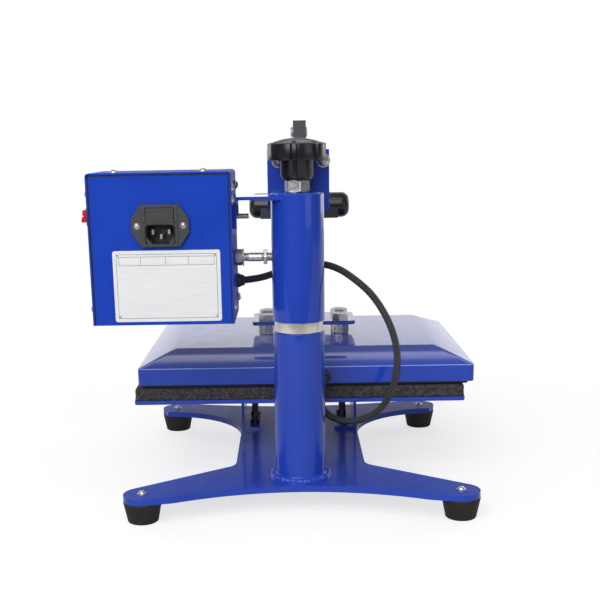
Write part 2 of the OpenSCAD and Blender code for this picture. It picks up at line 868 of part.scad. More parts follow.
module heating_element() {
    color("dimgray") translate([cover_x, cover_y, heater_top - groove / 2]) {
        for (y = element_rows) translate([0, y, 0]) rod_x(element_d, -element_half, element_half);
        for (i = [0:len(element_rows) - 2]) {
            side = i % 2 == 0 ? 1 : -1;
            r = (element_rows[i + 1] - element_rows[i]) / 2;
            translate([side * element_half, (element_rows[i + 1] + element_rows[i]) / 2, 0])
                rotate([0, 0, side > 0 ? -90 : 90]) rotate_extrude(angle = 180)
                    translate([r, 0]) circle(d = element_d);
        }
    }
}

module insulation_board() {
    color("wheat") difference() {
        translate([cover_x, cover_y, heater_top]) linear_extrude(board_t)
            rounded_rect(cover_w - 2 * cover_slope + 16, cover_d - 2 * cover_slope + 16, 4);
        at_mount_bolts() translate([0, 0, heater_top - 1])
            cylinder(d = mount_nut_af + 4, h = board_t + 2);
    }
}

module cable_gland() {
    rear = -platen_rear;
    color("#181818") translate([gland_x, 0, gland_z]) difference() {
        union() {
            rod_y(gland_d, rear, rear + 7);
            rod_y(gland_d - 3.2, rear - cover_sheet - 3, rear + 1);
            rod_y(gland_d, rear - cover_sheet - 3, rear - cover_sheet);
        }
        rod_y(gland_bore, rear - 20, rear + 20);
    }
}

// ---- Control box ----

module box_bracket() {
    outer = box_x;
    color("royalblue") difference() {
        union() {
            translate([post_d / 2 - 12, -bracket_w / 2, bracket_z - bracket_t])
                cube([outer - post_d / 2 + 12, bracket_w, bracket_t]);
            translate([outer - bracket_t, -bracket_w / 2, bracket_z - 28])
                cube([bracket_t, bracket_w, 28]);
        }
        translate([0, 0, bracket_z - bracket_t - 1]) cylinder(d = post_d + 0.02, h = bracket_t + 2);
        translate([0, 0, bracket_z - 18]) rod_x(5.2, outer - 6, outer + 2);
    }
}

module bracket_bolt() {
    inside = box_x + box_sheet;
    color("silver") translate([0, 0, bracket_z - 18]) {
        rod_x(5, box_x - 13, inside + tiny);
        rod_x(9, inside, inside + 3.5);
    }
}

module box_stay() {
    nut_h = 6.5;
    color("silver") translate([0, 0, stay_z]) {
        rod_x(stay_d - 0.04, post_d / 2 - sleeve_wall + 0.2, box_x + box_sheet + nut_h + 2);
        for (x = [box_x - nut_h, box_x + box_sheet, post_d / 2 + 4]) {
            translate([x, 0, 0]) rotate([0, 90, 0]) difference() {
                hex(13, x < post_d ? 3.5 : nut_h);
                translate([0, 0, -1]) cylinder(d = stay_d, h = nut_h + 2);
            }
        }
    }
}

module cover_profile(inset, r) {
    w = box_w - 2 * inset;
    translate([box_mid - w / 2, box_bottom - inset]) square([w, box_h - r]);
    translate([box_mid - w / 2 + r, box_bottom - inset]) square([w - 2 * r, box_h]);
    for (x = [-1, 1]) {
        translate([box_mid + x * (w / 2 - r), box_bottom - inset + box_h - r]) circle(r);
    }
}

// [side, y, z] of the screws in the sides of the box
side_screws = [
    [-1, box_rear - 9, box_top - 14.5], [-1, box_rear - 9, box_top - 24.5],
    [1, box_rear - 9, box_top - 17.5],
    for (x = [-1, 1]) [x, box_rear - 9, box_bottom + 14],
    for (x = [-1, 1]) for (z = [box_top - 14, box_bottom + 14]) [x, box_front + 9, z]];

module at_box_screws() {
    for (x = [-1, 1]) translate([box_mid + x * 38.5, box_rear - 9, box_top]) children();
    for (p = side_screws) {
        translate([box_mid + p[0] * box_w / 2, p[1], p[2]]) rotate([0, p[0] * 90, 0]) children();
    }
}

module box_cover() {
    color("royalblue") difference() {
        xz_plate(box_d, box_front) difference() {
            cover_profile(0, 3);
            translate([0, -tiny]) cover_profile(box_sheet, 0.8);
            translate([box_x - 1, box_bottom - 20]) square([box_w + 2, 20]);
        }
        at_box_screws() cylinder(d = 4.4, h = 8, center = true);
        translate([box_x + box_w, switch_pos[0], switch_pos[1]])
            cube([10, switch_w - 1.4, switch_h - 1.4], center = true);
        translate([0, 0, stay_z]) rod_x(stay_d + 0.4, box_x - 2, box_x + 4);
        translate([0, 0, bracket_z - 18]) rod_x(5.2, box_x - 2, box_x + 4);
        translate([0, cable_route[1][1], cable_route[1][2]])
            rod_x(gland_d - 3, box_x - 2, box_x + 4);
    }
}

module box_body() {
    inset = box_sheet + 0.2;
    left = box_x + inset;
    w = box_w - 2 * inset;
    h = box_h - inset;
    color("royalblue") difference() {
        union() {
            for (y = [wall_rear - box_sheet, wall_front]) {
                translate([left, y, box_bottom]) cube([w, box_sheet, h]);
            }
            translate([left, wall_front, box_bottom]) cube([w, wall_rear - wall_front, box_sheet]);
            for (y = [wall_rear - lip, wall_front]) {
                translate([left, y, box_bottom + h - box_sheet]) cube([w, lip, box_sheet]);
                for (x = [left, left + w - box_sheet]) {
                    translate([x, y, box_bottom]) cube([box_sheet, lip, h]);
                }
            }
        }
        at_box_screws() cylinder(d = 4.02, h = 30, center = true);
        translate([box_mid, wall_front, panel_z])
            cube([controller_w - 4, 10, controller_w - 4], center = true);
        translate([inlet[0], wall_rear, inlet[1]]) cube([28.6, 10, 34.6], center = true);
        for (x = [-20, 20]) translate([inlet[0] + x, 0, inlet[1]]) rod_y(3.4, wall_rear - 5, wall_rear + 1);
        translate([box_x + box_w, switch_pos[0], switch_pos[1]])
            cube([40, switch_w + 3, switch_h + 3], center = true);
        translate([0, cable_route[1][1], cable_route[1][2]])
            rod_x(gland_d + 1, box_x, box_x + 12);
    }
}

module box_screws() {
    color("silver") at_box_screws() {
        translate([0, 0, -6]) cylinder(d = 4, h = 6 + tiny);
        dome(8, 2.6);
    }
}

module controller() {
    face = wall_front - 8;
    color("#222222") difference() {
        union() {
            translate([box_mid - controller_w / 2, face, panel_z - controller_w / 2])
                cube([controller_w, 8, controller_w]);
            translate([box_mid - controller_w / 2 + 2.2, wall_front - 1, panel_z - controller_w / 2 + 2.2])
                cube([controller_w - 4.4, 44, controller_w - 4.4]);
        }
        translate([box_mid - display_w / 2, face - 1, panel_z - 6]) cube([display_w, 2.5, display_h]);
        for (i = [0:3]) {
            translate([key_x(i) - key_w / 2 - slip, face - 1, key_z - key_h / 2 - slip])
                cube([key_w + 2 * slip, 5, key_h + 2 * slip]);
        }
    }
}

function key_x(i) = box_mid + (1.5 - i) * key_pitch;

module panel_key(i) {
    color("lightgray") translate([key_x(i) - key_w / 2, wall_front - 9.6, key_z - key_h / 2])
        cube([key_w, 4.3, key_h]);
}

module key_set() { panel_key(0); }
module key_shift() { panel_key(1); }
module key_down() { panel_key(2); }
module key_up() { panel_key(3); }

module display_window() {
    color("#400a08") translate([box_mid - display_w / 2 + 0.1, wall_front - 7.7, panel_z - 5.9])
        cube([display_w - 0.2, 1.2, display_h - 0.2]);
}

module power_relay() {
    color("#dedede") translate([box_x + 14, box_rear - relay[1] - 6, box_bottom + box_sheet]) cube(relay);
}

module switch_housing() {
    wall = box_x + box_w;
    color("#202020") translate([wall, switch_pos[0], switch_pos[1]]) difference() {
        union() {
            translate([0, -switch_w / 2, -switch_h / 2]) cube([1, switch_w, switch_h]);
            translate([-15, -switch_w / 2 + 0.9, -switch_h / 2 + 0.9])
                cube([15.5, switch_w - 1.8, switch_h - 1.8]);
        }
        translate([-3, -switch_w / 2 + 1.5, -switch_h / 2 + 1.5])
            cube([10, switch_w - 3, switch_h - 3]);
        translate([rocker_pin_x, 0, 0])
            rod_y(rocker_pin_d + 2 * fit, -switch_w / 2 + 0.5, switch_w / 2 - 0.5);
    }
}

rocker_tilt = 9;
rocker_pin_d = 1.6;
rocker_pin_x = -0.5;

module rocker() {
    half = 5.5;
    wide = switch_w - 3 - 2 * slip;
    color("red") translate([box_x + box_w + rocker_pin_x, switch_pos[0], switch_pos[1]]) {
        rotate([0, -rocker_tilt, 0]) translate([0, -wide / 2, 0]) xz_plate(wide, 0)
            polygon([[-1.5, -half + 1.2], [4.9, -half], [5.7, -half + 0.8], [5.5, -0.7], [4, 0],
                [5.5, 0.7], [5.7, half - 0.8], [4.9, half], [-1.5, half - 1.2]]);
        rod_y(rocker_pin_d, -wide / 2 - 1, wide / 2 + 1);
    }
}

module inlet_outline() {
    polygon([[-25, -6], [-25, 6], [-16.5, 18.2], [16.5, 18.2], [25, 6], [25, -6],
        [16.5, -18.2], [-16.5, -18.2]]);
}

// The socket's mouth, with its two cut corners below
module socket_outline(grow) {
    polygon([[-12 - grow, 0.8 + grow], [12 + grow, 0.8 + grow], [12 + grow, -9.5], [7, -15.5 - grow],
        [-7, -15.5 - grow], [-12 - grow, -9.5]]);
}

inlet_face = wall_rear + 3;
drawer_w = 24;
drawer_h = 12;
drawer_z = 9.2;

module inlet_body() {
    color("#151515") translate([inlet[0], 0, inlet[1]]) difference() {
        union() {
            xz_plate(3, wall_rear) inlet_outline();
            translate([-14, wall_rear - 30, -17]) cube([28, 31, 34]);
        }
        xz_plate(22, inlet_face - 21) socket_outline(0);
        translate([-drawer_w / 2 - slip, inlet_face - 25, drawer_z - drawer_h / 2 - slip])
            cube([drawer_w + 2 * slip, 30, drawer_h + 2 * slip]);
        for (x = [-20, 20]) translate([x, 0, 0]) rod_y(3.4, wall_rear - 1, inlet_face + 1);
        for (p = socket_pins) {
            translate([p[0], 0, p[1]]) translate([-1, inlet_face - 35, -2]) cube([2, 20, 4]);
        }
    }
}

socket_pins = [[-7, -5.5], [7, -5.5], [0, -9.5]];

module inlet_pins() {
    color("gainsboro") for (p = socket_pins) {
        translate([inlet[0] + p[0] - 1, inlet_face - 34, inlet[1] + p[1] - 2]) cube([2, 28, 4]);
    }
}

module inlet_screws() {
    color("silver") for (x = [-20, 20]) {
        translate([inlet[0] + x, 0, inlet[1]]) {
            rod_y(3.3, wall_rear - 5, inlet_face + tiny);
            translate([0, inlet_face, 0]) rotate([-90, 0, 0]) dome(6.2, 1.8);
        }
    }
}

module fuse_drawer() {
    color("#1d1d1d") translate([inlet[0], 0, inlet[1] + drawer_z]) difference() {
        translate([-drawer_w / 2, inlet_face - 24, -drawer_h / 2]) cube([drawer_w, 25.2, drawer_h]);
        translate([-10.3, inlet_face - 16.8, -2.8]) cube([20.6, 5.6, 20]);
    }
}

module fuse() {
    color("gainsboro") translate([inlet[0], inlet_face - 14, inlet[1] + drawer_z])
        rod_x(5, -10, 10);
}

module rating_plate() {
    edge = 11;
    top = inlet[1] - 18.2 - plate_gap;
    color("silver") translate([box_x + edge, wall_rear, box_bottom + plate_gap])
        cube([box_w - edge - 20, 0.6, top - box_bottom - plate_gap]);
}

module box_gland() {
    color("#181818") translate([0, cable_route[1][1], cable_route[1][2]]) difference() {
        union() {
            rod_x(gland_d, box_x - 7, box_x);
            rod_x(gland_d - 3.2, box_x - 1, box_x + box_sheet + 5);
            rod_x(gland_d, box_x + box_sheet, box_x + box_sheet + 4);
        }
        rod_x(gland_bore, box_x - 20, box_x + 20);
    }
}

// ---- Lead from the box to the head ----

function unit(v) = v / norm(v);

// A smooth curve through four neighbouring points, at t from 0 to 1
function curve_point(a, b, c, d, t) =
    0.5 * (2 * b + (c - a) * t + (2 * a - 5 * b + 4 * c - d) * t * t
        + (3 * b - a - 3 * c + d) * t * t * t);

function smooth(p, steps) = let (n = len(p) - 1) concat(
    [for (i = [0:n - 1]) for (s = [0:steps - 1])
        curve_point(p[max(i - 1, 0)], p[i], p[i + 1], p[min(i + 2, n)], s / steps)],
    [p[n]]);

function along(path, i) = unit(path[min(i + 1, len(path) - 1)] - path[max(i - 1, 0)]);

function across(v, t) = unit(v - (v * t) * t);

function side_vectors(path) = [for (i = 0, u = across([0, 0, 1], along(path, 0)); i < len(path);
    i = i + 1, u = across(u, along(path, min(i, len(path) - 1)))) u];

module tube(path, d, sides) {
    u = side_vectors(path);
    n = len(path);
    points = [for (i = [0:n - 1]) for (k = [0:sides - 1])
        let (w = cross(along(path, i), u[i]), a = 360 * k / sides)
        path[i] + d / 2 * (cos(a) * u[i] + sin(a) * w)];
    walls = [for (i = [0:n - 2]) for (k = [0:sides - 1])
        let (j = (k + 1) % sides)
        [i * sides + k, (i + 1) * sides + k, (i + 1) * sides + j, i * sides + j]];
    first = [for (k = [0:sides - 1]) k];
    last = [for (k = [sides - 1:-1:0]) (n - 1) * sides + k];
    polyhedron(points, concat(walls, [first, last]));
}

module heater_cable() {
    color("#101010") tube(smooth(cable_route, cable_steps), cable_d - 0.2, cable_sides);
}

base_frame();
rubber_feet();
foot_bolts();
post_tube();
spindle();
platen_supports();
support_studs();
support_nuts();
lower_platen();
silicone_pad();
thrust_ring();
star_knob();
pressure_screw();
sleeve();
sleeve_bushes();
adjuster_nut();
arm_frame();
arm_plate();
arm_bolts();
arm_screws();
lever_clevis();
lever_pin();
ram_guide();
box_bracket();
bracket_bolt();
box_stay();
box_body();
box_cover();
box_screws();
controller();
display_window();
power_relay();
switch_housing();
inlet_body();
inlet_pins();
inlet_screws();
rating_plate();
heater_cable();
box_gland();
rocker();
fuse_drawer();
fuse();
key_set();
key_shift();
key_down();
key_up();
lever();
handle_grip();
knee_pin();
links();
ram_pin();
ram();
mounting_plate();
mounting_bolts();
mounting_nuts();
head_cover();
insulation_board();
heating_platen();
heating_element();
cable_gland();
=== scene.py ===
"""A swing-away flat heat press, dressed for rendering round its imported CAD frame.

Metres and the frame's axes throughout, except that small shapes are drawn in
millimetres and scaled by MM. The camera looks at the rear of the press.
"""

import json
import math
import random

import bmesh
import bpy
from mathutils import Matrix, Vector


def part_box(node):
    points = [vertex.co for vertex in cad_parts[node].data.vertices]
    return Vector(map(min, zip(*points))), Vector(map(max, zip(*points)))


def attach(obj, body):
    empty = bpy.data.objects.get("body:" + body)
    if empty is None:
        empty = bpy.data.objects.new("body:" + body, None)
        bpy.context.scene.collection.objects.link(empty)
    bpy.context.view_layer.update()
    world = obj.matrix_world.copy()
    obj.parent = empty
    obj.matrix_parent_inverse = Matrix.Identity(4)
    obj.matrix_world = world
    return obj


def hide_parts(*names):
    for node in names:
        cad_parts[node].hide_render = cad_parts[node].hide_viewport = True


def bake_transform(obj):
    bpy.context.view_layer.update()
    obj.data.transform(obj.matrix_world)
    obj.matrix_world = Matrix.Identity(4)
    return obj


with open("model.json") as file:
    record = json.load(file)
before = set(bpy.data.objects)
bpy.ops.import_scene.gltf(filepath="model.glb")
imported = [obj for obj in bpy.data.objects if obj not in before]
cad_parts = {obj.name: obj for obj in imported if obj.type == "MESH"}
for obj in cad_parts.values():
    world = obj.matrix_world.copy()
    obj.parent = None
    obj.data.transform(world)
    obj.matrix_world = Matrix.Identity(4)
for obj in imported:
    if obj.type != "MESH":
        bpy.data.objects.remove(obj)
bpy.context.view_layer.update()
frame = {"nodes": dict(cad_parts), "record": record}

MM = 0.001
HEAD_X = -4  # the middle plane of the arm and the ram
PIN_Y = -172  # the line of the ram


# ---- Materials ----


class Tree:
    """A node tree with short calls for the nodes that the materials and the world share."""

    def __init__(self, tree):
        self.tree = tree

    def feed(self, socket, value):
        if isinstance(value, bpy.types.NodeSocket):
            self.tree.links.new(value, socket)
        else:
            socket.default_value = value

    def add(self, kind, inputs=(), **settings):
        node = self.tree.nodes.new(kind)
        for key, value in settings.items():
            setattr(node, key, value)
        for key, value in dict(inputs).items():
            self.feed(node.inputs[key], value)
        return node

    def calc(self, operation, *values):
        return self.add("ShaderNodeMath", enumerate(values), operation=operation).outputs[0]

    def range(self, value, low, high, out_low=0.0, out_high=1.0, interpolation="LINEAR"):
        return self.add(
            "ShaderNodeMapRange",
            {"Value": value, "From Min": low, "From Max": high, "To Min": out_low, "To Max": out_high},
            interpolation_type=interpolation,
        ).outputs["Result"]


class Nodes(Tree):
    """A material's node tree, with its shader and its object coordinates at hand."""

    def __init__(self, name):
        self.material = bpy.data.materials.new(name)
        self.material.use_nodes = True
        super().__init__(self.material.node_tree)
        self.shader = self.tree.nodes["Principled BSDF"]
        self.place = self.tree.nodes.new("ShaderNodeTexCoord").outputs["Object"]

    def set(self, **values):
        for key, value in values.items():
            self.feed(self.shader.inputs[key.replace("_", " ")], value)

    def noise(self, scale, detail=3, roughness=0.55, stretch=(1, 1, 1)):
        at = self.add("ShaderNodeMapping", {"Vector": self.place, "Scale": stretch}).outputs[0]
        return self.add(
            "ShaderNodeTexNoise",
            {"Vector": at, "Scale": scale, "Detail": detail, "Roughness": roughness},
        ).outputs["Fac"]

    def mix(self, fac, a, b):
        a, b = (v if isinstance(v, bpy.types.NodeSocket) else (*v, 1) for v in (a, b))
        return self.add("ShaderNodeMix", {0: fac, 6: a, 7: b}, data_type="RGBA").outputs[2]

    def bump(self, height, depth, strength=1.0):
        inputs = {"Height": height, "Distance": depth, "Strength": strength}
        return self.add("ShaderNodeBump", inputs).outputs["Normal"]


def enamel(name, deep, light, coat=1.0, rough=0.3, shine=0.15):
    """Glossy powder coat: a slight orange peel under a clear, hard surface."""
    m = Nodes(name)
    tone = m.noise(14, 2)
    peel = m.noise(420, 2, 0.4)
    m.set(
        Base_Color=m.mix(m.range(tone, 0.3, 0.7), deep, light),
        Roughness=m.range(m.noise(60), 0.3, 0.7, rough, rough + 0.1),
        Specular_IOR_Level=shine,
        Coat_Weight=coat,
        Coat_Roughness=0.05,
        Coat_IOR=1.4,
        Normal=m.bump(peel, 0.00001, 0.08),
    )
    return m.material


def metal(name, dark, light, roughness=0.25, grain=(1, 1, 1), scale=500, metallic=1.0):
    """Bare or plated steel with fine marks along the given grain."""
    m = Nodes(name)
    marks = m.noise(scale, 4, 0.65, grain)
    stains = m.noise(70, 3)
    m.set(
        Base_Color=m.mix(m.range(stains, 0.3, 0.72), dark, light),
        Metallic=metallic,
        Roughness=m.range(marks, 0.25, 0.75, roughness * 0.7, roughness * 1.35),
        Normal=m.bump(marks, 0.00002, 0.25),
    )
    return m.material


def plastic(name, color, roughness, bump=0.00003, scale=900, dust=(0.2, 0.19, 0.18), amount=0.0):
    """Moulded plastic or rubber, with fine texture and a little dust in places."""
    m = Nodes(name)
    cloud = m.range(m.noise(90, 4), 0.45, 0.8, 0.0, amount)
    m.set(
        Base_Color=m.mix(cloud, color, dust),
        Roughness=m.range(m.noise(45, 3), 0.3, 0.7, roughness * 0.85, roughness * 1.15),
        Normal=m.bump(m.noise(scale, 3), bump, 0.5),
    )
    return m.material


def foam(name):
    """Black silicone sponge with pale specks and open pores."""
    m = Nodes(name)
    cells = m.add("ShaderNodeTexVoronoi", {"Vector": m.place, "Scale": 520, "Randomness": 1.0})
    pores = m.add("ShaderNodeTexVoronoi", {"Vector": m.place, "Scale": 900, "Randomness": 1.0})
    specks = m.range(cells.outputs["Distance"], 0.15, 0.5, 1.0, 0.0)
    chance = m.range(m.noise(420, 2), 0.44, 0.62)
    cloud = m.range(m.noise(260, 4), 0.35, 0.66)
    mottle = m.mix(cloud, (0.013, 0.012, 0.013), (0.060, 0.055, 0.056))
    m.set(
        Base_Color=m.mix(m.calc("MULTIPLY", specks, chance), mottle, (0.13, 0.125, 0.127)),
        Roughness=0.8,
        Normal=m.bump(pores.outputs["Distance"], 0.0006, 0.8),
    )
    return m.material


def braid(name):
    """Black braided sleeve; the tube's UV runs round it and along it in diameters."""
    m = Nodes(name)
    uv = m.add("ShaderNodeTexCoord").outputs["UV"]
    axes = m.add("ShaderNodeSeparateXYZ", {"Vector": uv})
    waves = []
    for turns in (9.0, -9.0):
        turn = m.calc("MULTIPLY", axes.outputs["X"], turns)
        total = m.calc("ADD", turn, m.calc("MULTIPLY", axes.outputs["Y"], 3.0))
        waves.append(m.calc("SINE", m.calc("MULTIPLY", total, 2 * math.pi)))
    weave = m.calc("MAXIMUM", *waves)
    m.set(
        Base_Color=m.mix(m.range(weave, -0.4, 1.0), (0.008, 0.008, 0.009), (0.045, 0.043, 0.045)),
        Roughness=0.42,
        Normal=m.bump(weave, 0.0003, 0.9),
    )
    return m.material


def brushed_plate(name):
    """Silver plate with fine lines along it."""
    m = Nodes(name)
    lines = m.noise(900, 2, 0.5, (0.03, 1, 1))
    m.set(
        Base_Color=m.mix(m.range(lines, 0.3, 0.7), (0.86, 0.87, 0.885), (0.93, 0.94, 0.95)),
        Metallic=0.25,
        Roughness=m.range(lines, 0.2, 0.8, 0.32, 0.42),
        Normal=m.bump(lines, 0.000005, 0.1),
    )
    return m.material


def window(name):
    """Dark red display glass."""
    m = Nodes(name)
    m.set(
        Base_Color=m.mix(m.noise(200, 2), (0.03, 0.004, 0.004), (0.05, 0.006, 0.006)),
        Roughness=0.06,
        Coat_Weight=0.6,
        Coat_Roughness=0.03,
    )
    return m.material


def glow(name, color):
    """A lit segment of the display."""
    m = Nodes(name)
    dimmer = tuple(c * 0.8 for c in color)
    m.set(Base_Color=m.mix(m.noise(300, 2), color, dimmer), Roughness=0.3)
    m.shader.inputs["Emission Color"].default_value = (*color, 1)
    m.shader.inputs["Emission Strength"].default_value = 0.9
    return m.material


def board(name):
    """Pale fibre board."""
    m = Nodes(name)
    fibres = m.noise(260, 5, 0.7, (1, 0.3, 1))
    m.set(
        Base_Color=m.mix(m.range(fibres, 0.3, 0.7), (0.55, 0.48, 0.34), (0.74, 0.67, 0.5)),
        Roughness=0.9,
        Normal=m.bump(fibres, 0.0002, 0.5),
    )
    return m.material


BLUES = ((0.012, 0.052, 0.44), (0.016, 0.062, 0.49))
BLUE = enamel("blue_enamel", *BLUES)
# Light blue for thin lines along the cover's folded edges: painted highlights.
HIGHLIGHT_BLUE = enamel("painted_highlight_enamel", (0.22, 0.34, 0.84), (0.36, 0.50, 0.95))
SATIN_BLUE = enamel("satin_blue_enamel", *BLUES, 0.1, 0.5, 0.03)
ZINC = metal("zinc_plate", (0.50, 0.48, 0.46), (0.78, 0.77, 0.75), 0.3, metallic=0.85)
NUT = metal("nut_steel", (0.62, 0.58, 0.55), (0.86, 0.86, 0.85), 0.22, metallic=0.85)
CHROME = metal("ring_steel", (0.62, 0.57, 0.48), (0.97, 0.96, 0.94), 0.2, (1, 1, 0.3), 60, 0.7)
GROUND = metal("ground_steel", (0.55, 0.55, 0.55), (0.74, 0.74, 0.73), 0.22, (1, 1, 20), 150, 0.9)
BRONZE = metal("bronze", (0.35, 0.2, 0.08), (0.55, 0.36, 0.16), 0.35)
BLACKENED = metal("black_steel", (0.03, 0.03, 0.032), (0.075, 0.073, 0.072), 0.4)
GUNMETAL = plastic("dark_grey_paint", (0.050, 0.056, 0.064), 0.36, 0.00003, 500)
ELEMENT = metal("element_steel", (0.10, 0.09, 0.08), (0.2, 0.18, 0.16), 0.5)
COATED = plastic("coated_platen", (0.016, 0.014, 0.014), 0.42, 0.00002, 700)
RUBBER = plastic("foot_rubber", (0.009, 0.006, 0.005), 0.6, 0.00008, 420, (0.06, 0.048, 0.042), 0.25)
GLOSS = plastic("gloss_black", (0.012, 0.012, 0.016), 0.24, 0.00001, 200)
GRIP = plastic("grip_black", (0.016, 0.016, 0.017), 0.26, 0.00002, 250)
MATT = plastic("matt_black", (0.040, 0.039, 0.044), 0.5, 0.00004, 1200)
DARK = plastic("socket_black", (0.008, 0.008, 0.009), 0.25, 0.00002, 900)
SPONGE = foam("silicone_sponge")
BRAID = braid("braided_sleeve")
PLATE = brushed_plate("plate_silver")
PRINT = plastic("plate_line", (0.10, 0.10, 0.11), 0.5)
# Near-black navy for strips at the box's rear edges: painted shade for the shadow in the gap between
# cover and body.
PAINTED_GAP_SHADE = metal("painted_gap_shade", (0.004, 0.006, 0.02), (0.007, 0.009, 0.028), 0.6, (1, 1, 1), 300, 0.0)
RED = plastic("rocker_red", (0.66, 0.008, 0.014), 0.22, 0.00002, 400)
RELAY = plastic("relay_white", (0.66, 0.66, 0.64), 0.45)
KEY = plastic("key_grey", (0.42, 0.43, 0.44), 0.5, 0.00005, 900)
SCREEN = window("display_window")
DIGIT_RED = glow("digit_red", (1.0, 0.10, 0.05))
DIGIT_GREEN = glow("digit_green", (0.15, 0.9, 0.2))
BOARD = board("insulation_board")


# ---- Meshes ----


def finish_mesh(bm, name, sharp=32):
    """Merges, turns faces outwards, smooths, and keeps the edges sharper than the given angle."""
    bmesh.ops.remove_doubles(bm, verts=bm.verts, dist=1e-6)
    bmesh.ops.recalc_face_normals(bm, faces=bm.faces)
    for face in bm.faces:
        face.smooth = True
    for edge in bm.edges:
        edge.smooth = edge.is_manifold and edge.calc_face_angle(0) < math.radians(sharp)
    mesh = bpy.data.meshes.new(name)
    bm.to_mesh(mesh)
    bm.free()
    return mesh


def placed(name, data):
    """A new object in the scene."""
    thing = bpy.data.objects.new(name, data)
    bpy.context.scene.collection.objects.link(thing)
    return thing


def body_of(node):
    return next(b for b, nodes in frame["record"]["behaviour"]["bodies"].items() if node in nodes)


def piece(name, mesh, material, node, stands_for=True):
    """Puts a mesh into the scene on the node's body; it may stand for the node itself."""
    thing = placed(name, mesh)
    mesh.materials.clear()
    mesh.materials.append(material)
    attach(thing, body_of(node))
    if stands_for:
        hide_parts(node)
    return thing


def polar(radius, angle, z):
    return radius * math.cos(angle), radius * math.sin(angle), z


def angles(steps):
    return [2 * math.pi * i / steps for i in range(steps)]


def skin(rows, count, closed=False):
    """Faces for rows of as many points: bands between them, and caps unless the rows close."""
    faces = []
    for k in range(rows - 1 + closed):
        a, b = k * count, (k + 1) % rows * count
        for i in range(count):
            j = (i + 1) % count
            faces.append((a + i, a + j, b + j, b + i))
    if not closed:
        faces += [tuple(reversed(range(count))), tuple(range((rows - 1) * count, rows * count))]
    return faces


def turned(profile, steps=64, wave=None, closed=False):
    """(radius, height) pairs turned about Z; wave(angle, radius, height) may change a radius."""
    verts = []
    for radius, z in profile:
        verts += [polar(wave(a, radius, z) if wave else radius, a, z) for a in angles(steps)]
    return verts, skin(len(profile), steps, closed)


def hexagon(af, angle, radius, turn):
    """The reach of a hexagon at an angle, where it lies inside the given radius."""
    return min(radius, af / 2 / math.cos((angle - turn) % (math.pi / 3) - math.pi / 6))


def chamfered(af):
    """A hexagon's corner radius, the radius where its chamfer ends, and the chamfer's slope."""
    return af / math.sqrt(3), af / 2 * 0.95, math.tan(math.radians(30))


def hex_nut(af, height, bore, turn=0.0, steps=72):
    """A nut with its corners chamfered on both faces."""
    corner, flat, slope = chamfered(af)
    drop = (corner - flat) * slope
    rows = [(bore / 2 + 0.4, 0), (flat, 0), (corner, drop), (corner, height - drop)]
    rows += [(flat, height), (bore / 2 + 0.7, height), (bore / 2, height - 0.7), (bore / 2, 0.4)]
    verts = []
    for radius, z in rows:
        for angle in angles(steps):
            r, level = radius, z
            if radius == corner:
                r = hexagon(af, angle, radius, turn)
                rise = (r - flat) * slope
                level = rise if z < height / 2 else height - rise
            verts.append(polar(r, angle, level))
    return verts, skin(len(rows), steps, True)


def hex_head(af, height, turn=0.0, steps=72):
    """A bolt's head, chamfered on its outer face, with a slightly sunk middle."""
    corner, flat, slope = chamfered(af)
    rows = [(corner, 0), (corner, height), (flat, height)]
    rows += [(flat * 0.72, height), (flat * 0.66, height - 0.35)]
    verts = []
    for radius, z in rows:
        for angle in angles(steps):
            r = hexagon(af, angle, radius, turn) if radius == corner else radius
            level = height - (r - flat) * slope if radius == corner and z else z
            verts.append(polar(r, angle, level))
    return verts, skin(len(rows), steps)


def threaded(diameter, z0, z1, pitch, plain=(), steps=36, per_turn=6):
    """A rod with a helical thread from z0 to z1, smooth in the plain stretch (low, high)."""
    depth = 0.54 * pitch
    rows = max(8, int((z1 - z0) / pitch * per_turn))
    verts = []
    for k in range(rows + 1):
        z = z0 + (z1 - z0) * k / rows
        end = min(1.0, min(z - z0, z1 - z) / pitch)
        smooth = bool(plain) and plain[0] <= z <= plain[1]
        for i, angle in enumerate(angles(steps)):
            phase = (z / pitch + i / steps) % 1.0
            groove = 0.0 if smooth else depth * abs(2 * phase - 1)
            verts.append(polar(diameter / 2 - groove - (1 - end) * depth * 0.6, angle, z))
    return verts, skin(rows + 1, steps)


def dome_head(diameter, height, recess="cross", steps=40):
    """A low round head with a cross or hexagon recess, drawn as a dent in its top."""
    radius = (diameter ** 2 / 4 + height ** 2) / (2 * height)
    depth = 1.3 if recess == "hex" else 1.0
    rings = 12

    def dent(r, angle):
        if recess == "hex":
            cut = r < diameter * 0.24 / math.cos(angle % (math.pi / 3) - math.pi / 6)
        else:
            across = min(abs(math.cos(angle)), abs(math.sin(angle))) * r
            cut = across < diameter * 0.065 and r < diameter * 0.27
        return depth if cut else 0.0

    verts, faces = [(0.0, 0.0, height - depth)], []
    for k in range(1, rings + 1):
        r = diameter / 2 * k / rings
        z = math.sqrt(max(radius ** 2 - r ** 2, 0)) - (radius - height)
        verts += [polar(r, angle, z - dent(r, angle)) for angle in angles(steps)]
    for i in range(steps):
        faces.append((0, 1 + i, 1 + (i + 1) % steps))
    for k in range(rings - 1):
        a, b = 1 + k * steps, 1 + (k + 1) * steps
        for i in range(steps):
            j = (i + 1) % steps
            faces.append((a + i, b + i, b + j, a + j))
    faces.append(tuple(range(len(verts) - steps, len(verts))))
    return verts, faces


def brick(x0, y0, z0, x1, y1, z1):
    verts = [(x, y, z) for x in (x0, x1) for y in (y0, y1) for z in (z0, z1)]
    faces = [(0, 1, 3, 2), (4, 6, 7, 5), (0, 4, 5, 1), (2, 3, 7, 6), (0, 2, 6, 4), (1, 5, 7, 3)]
    return verts, faces


UP = Matrix.Identity(4)
TO_REAR = Matrix.Rotation(math.radians(-90), 4, "X")
TO_FRONT = Matrix.Rotation(math.radians(90), 4, "X")
TO_PLUS_X = Matrix.Rotation(math.radians(90), 4, "Y")
TO_MINUS_X = Matrix.Rotation(math.radians(-90), 4, "Y")
SIDES = ((-1, TO_MINUS_X), (1, TO_PLUS_X))


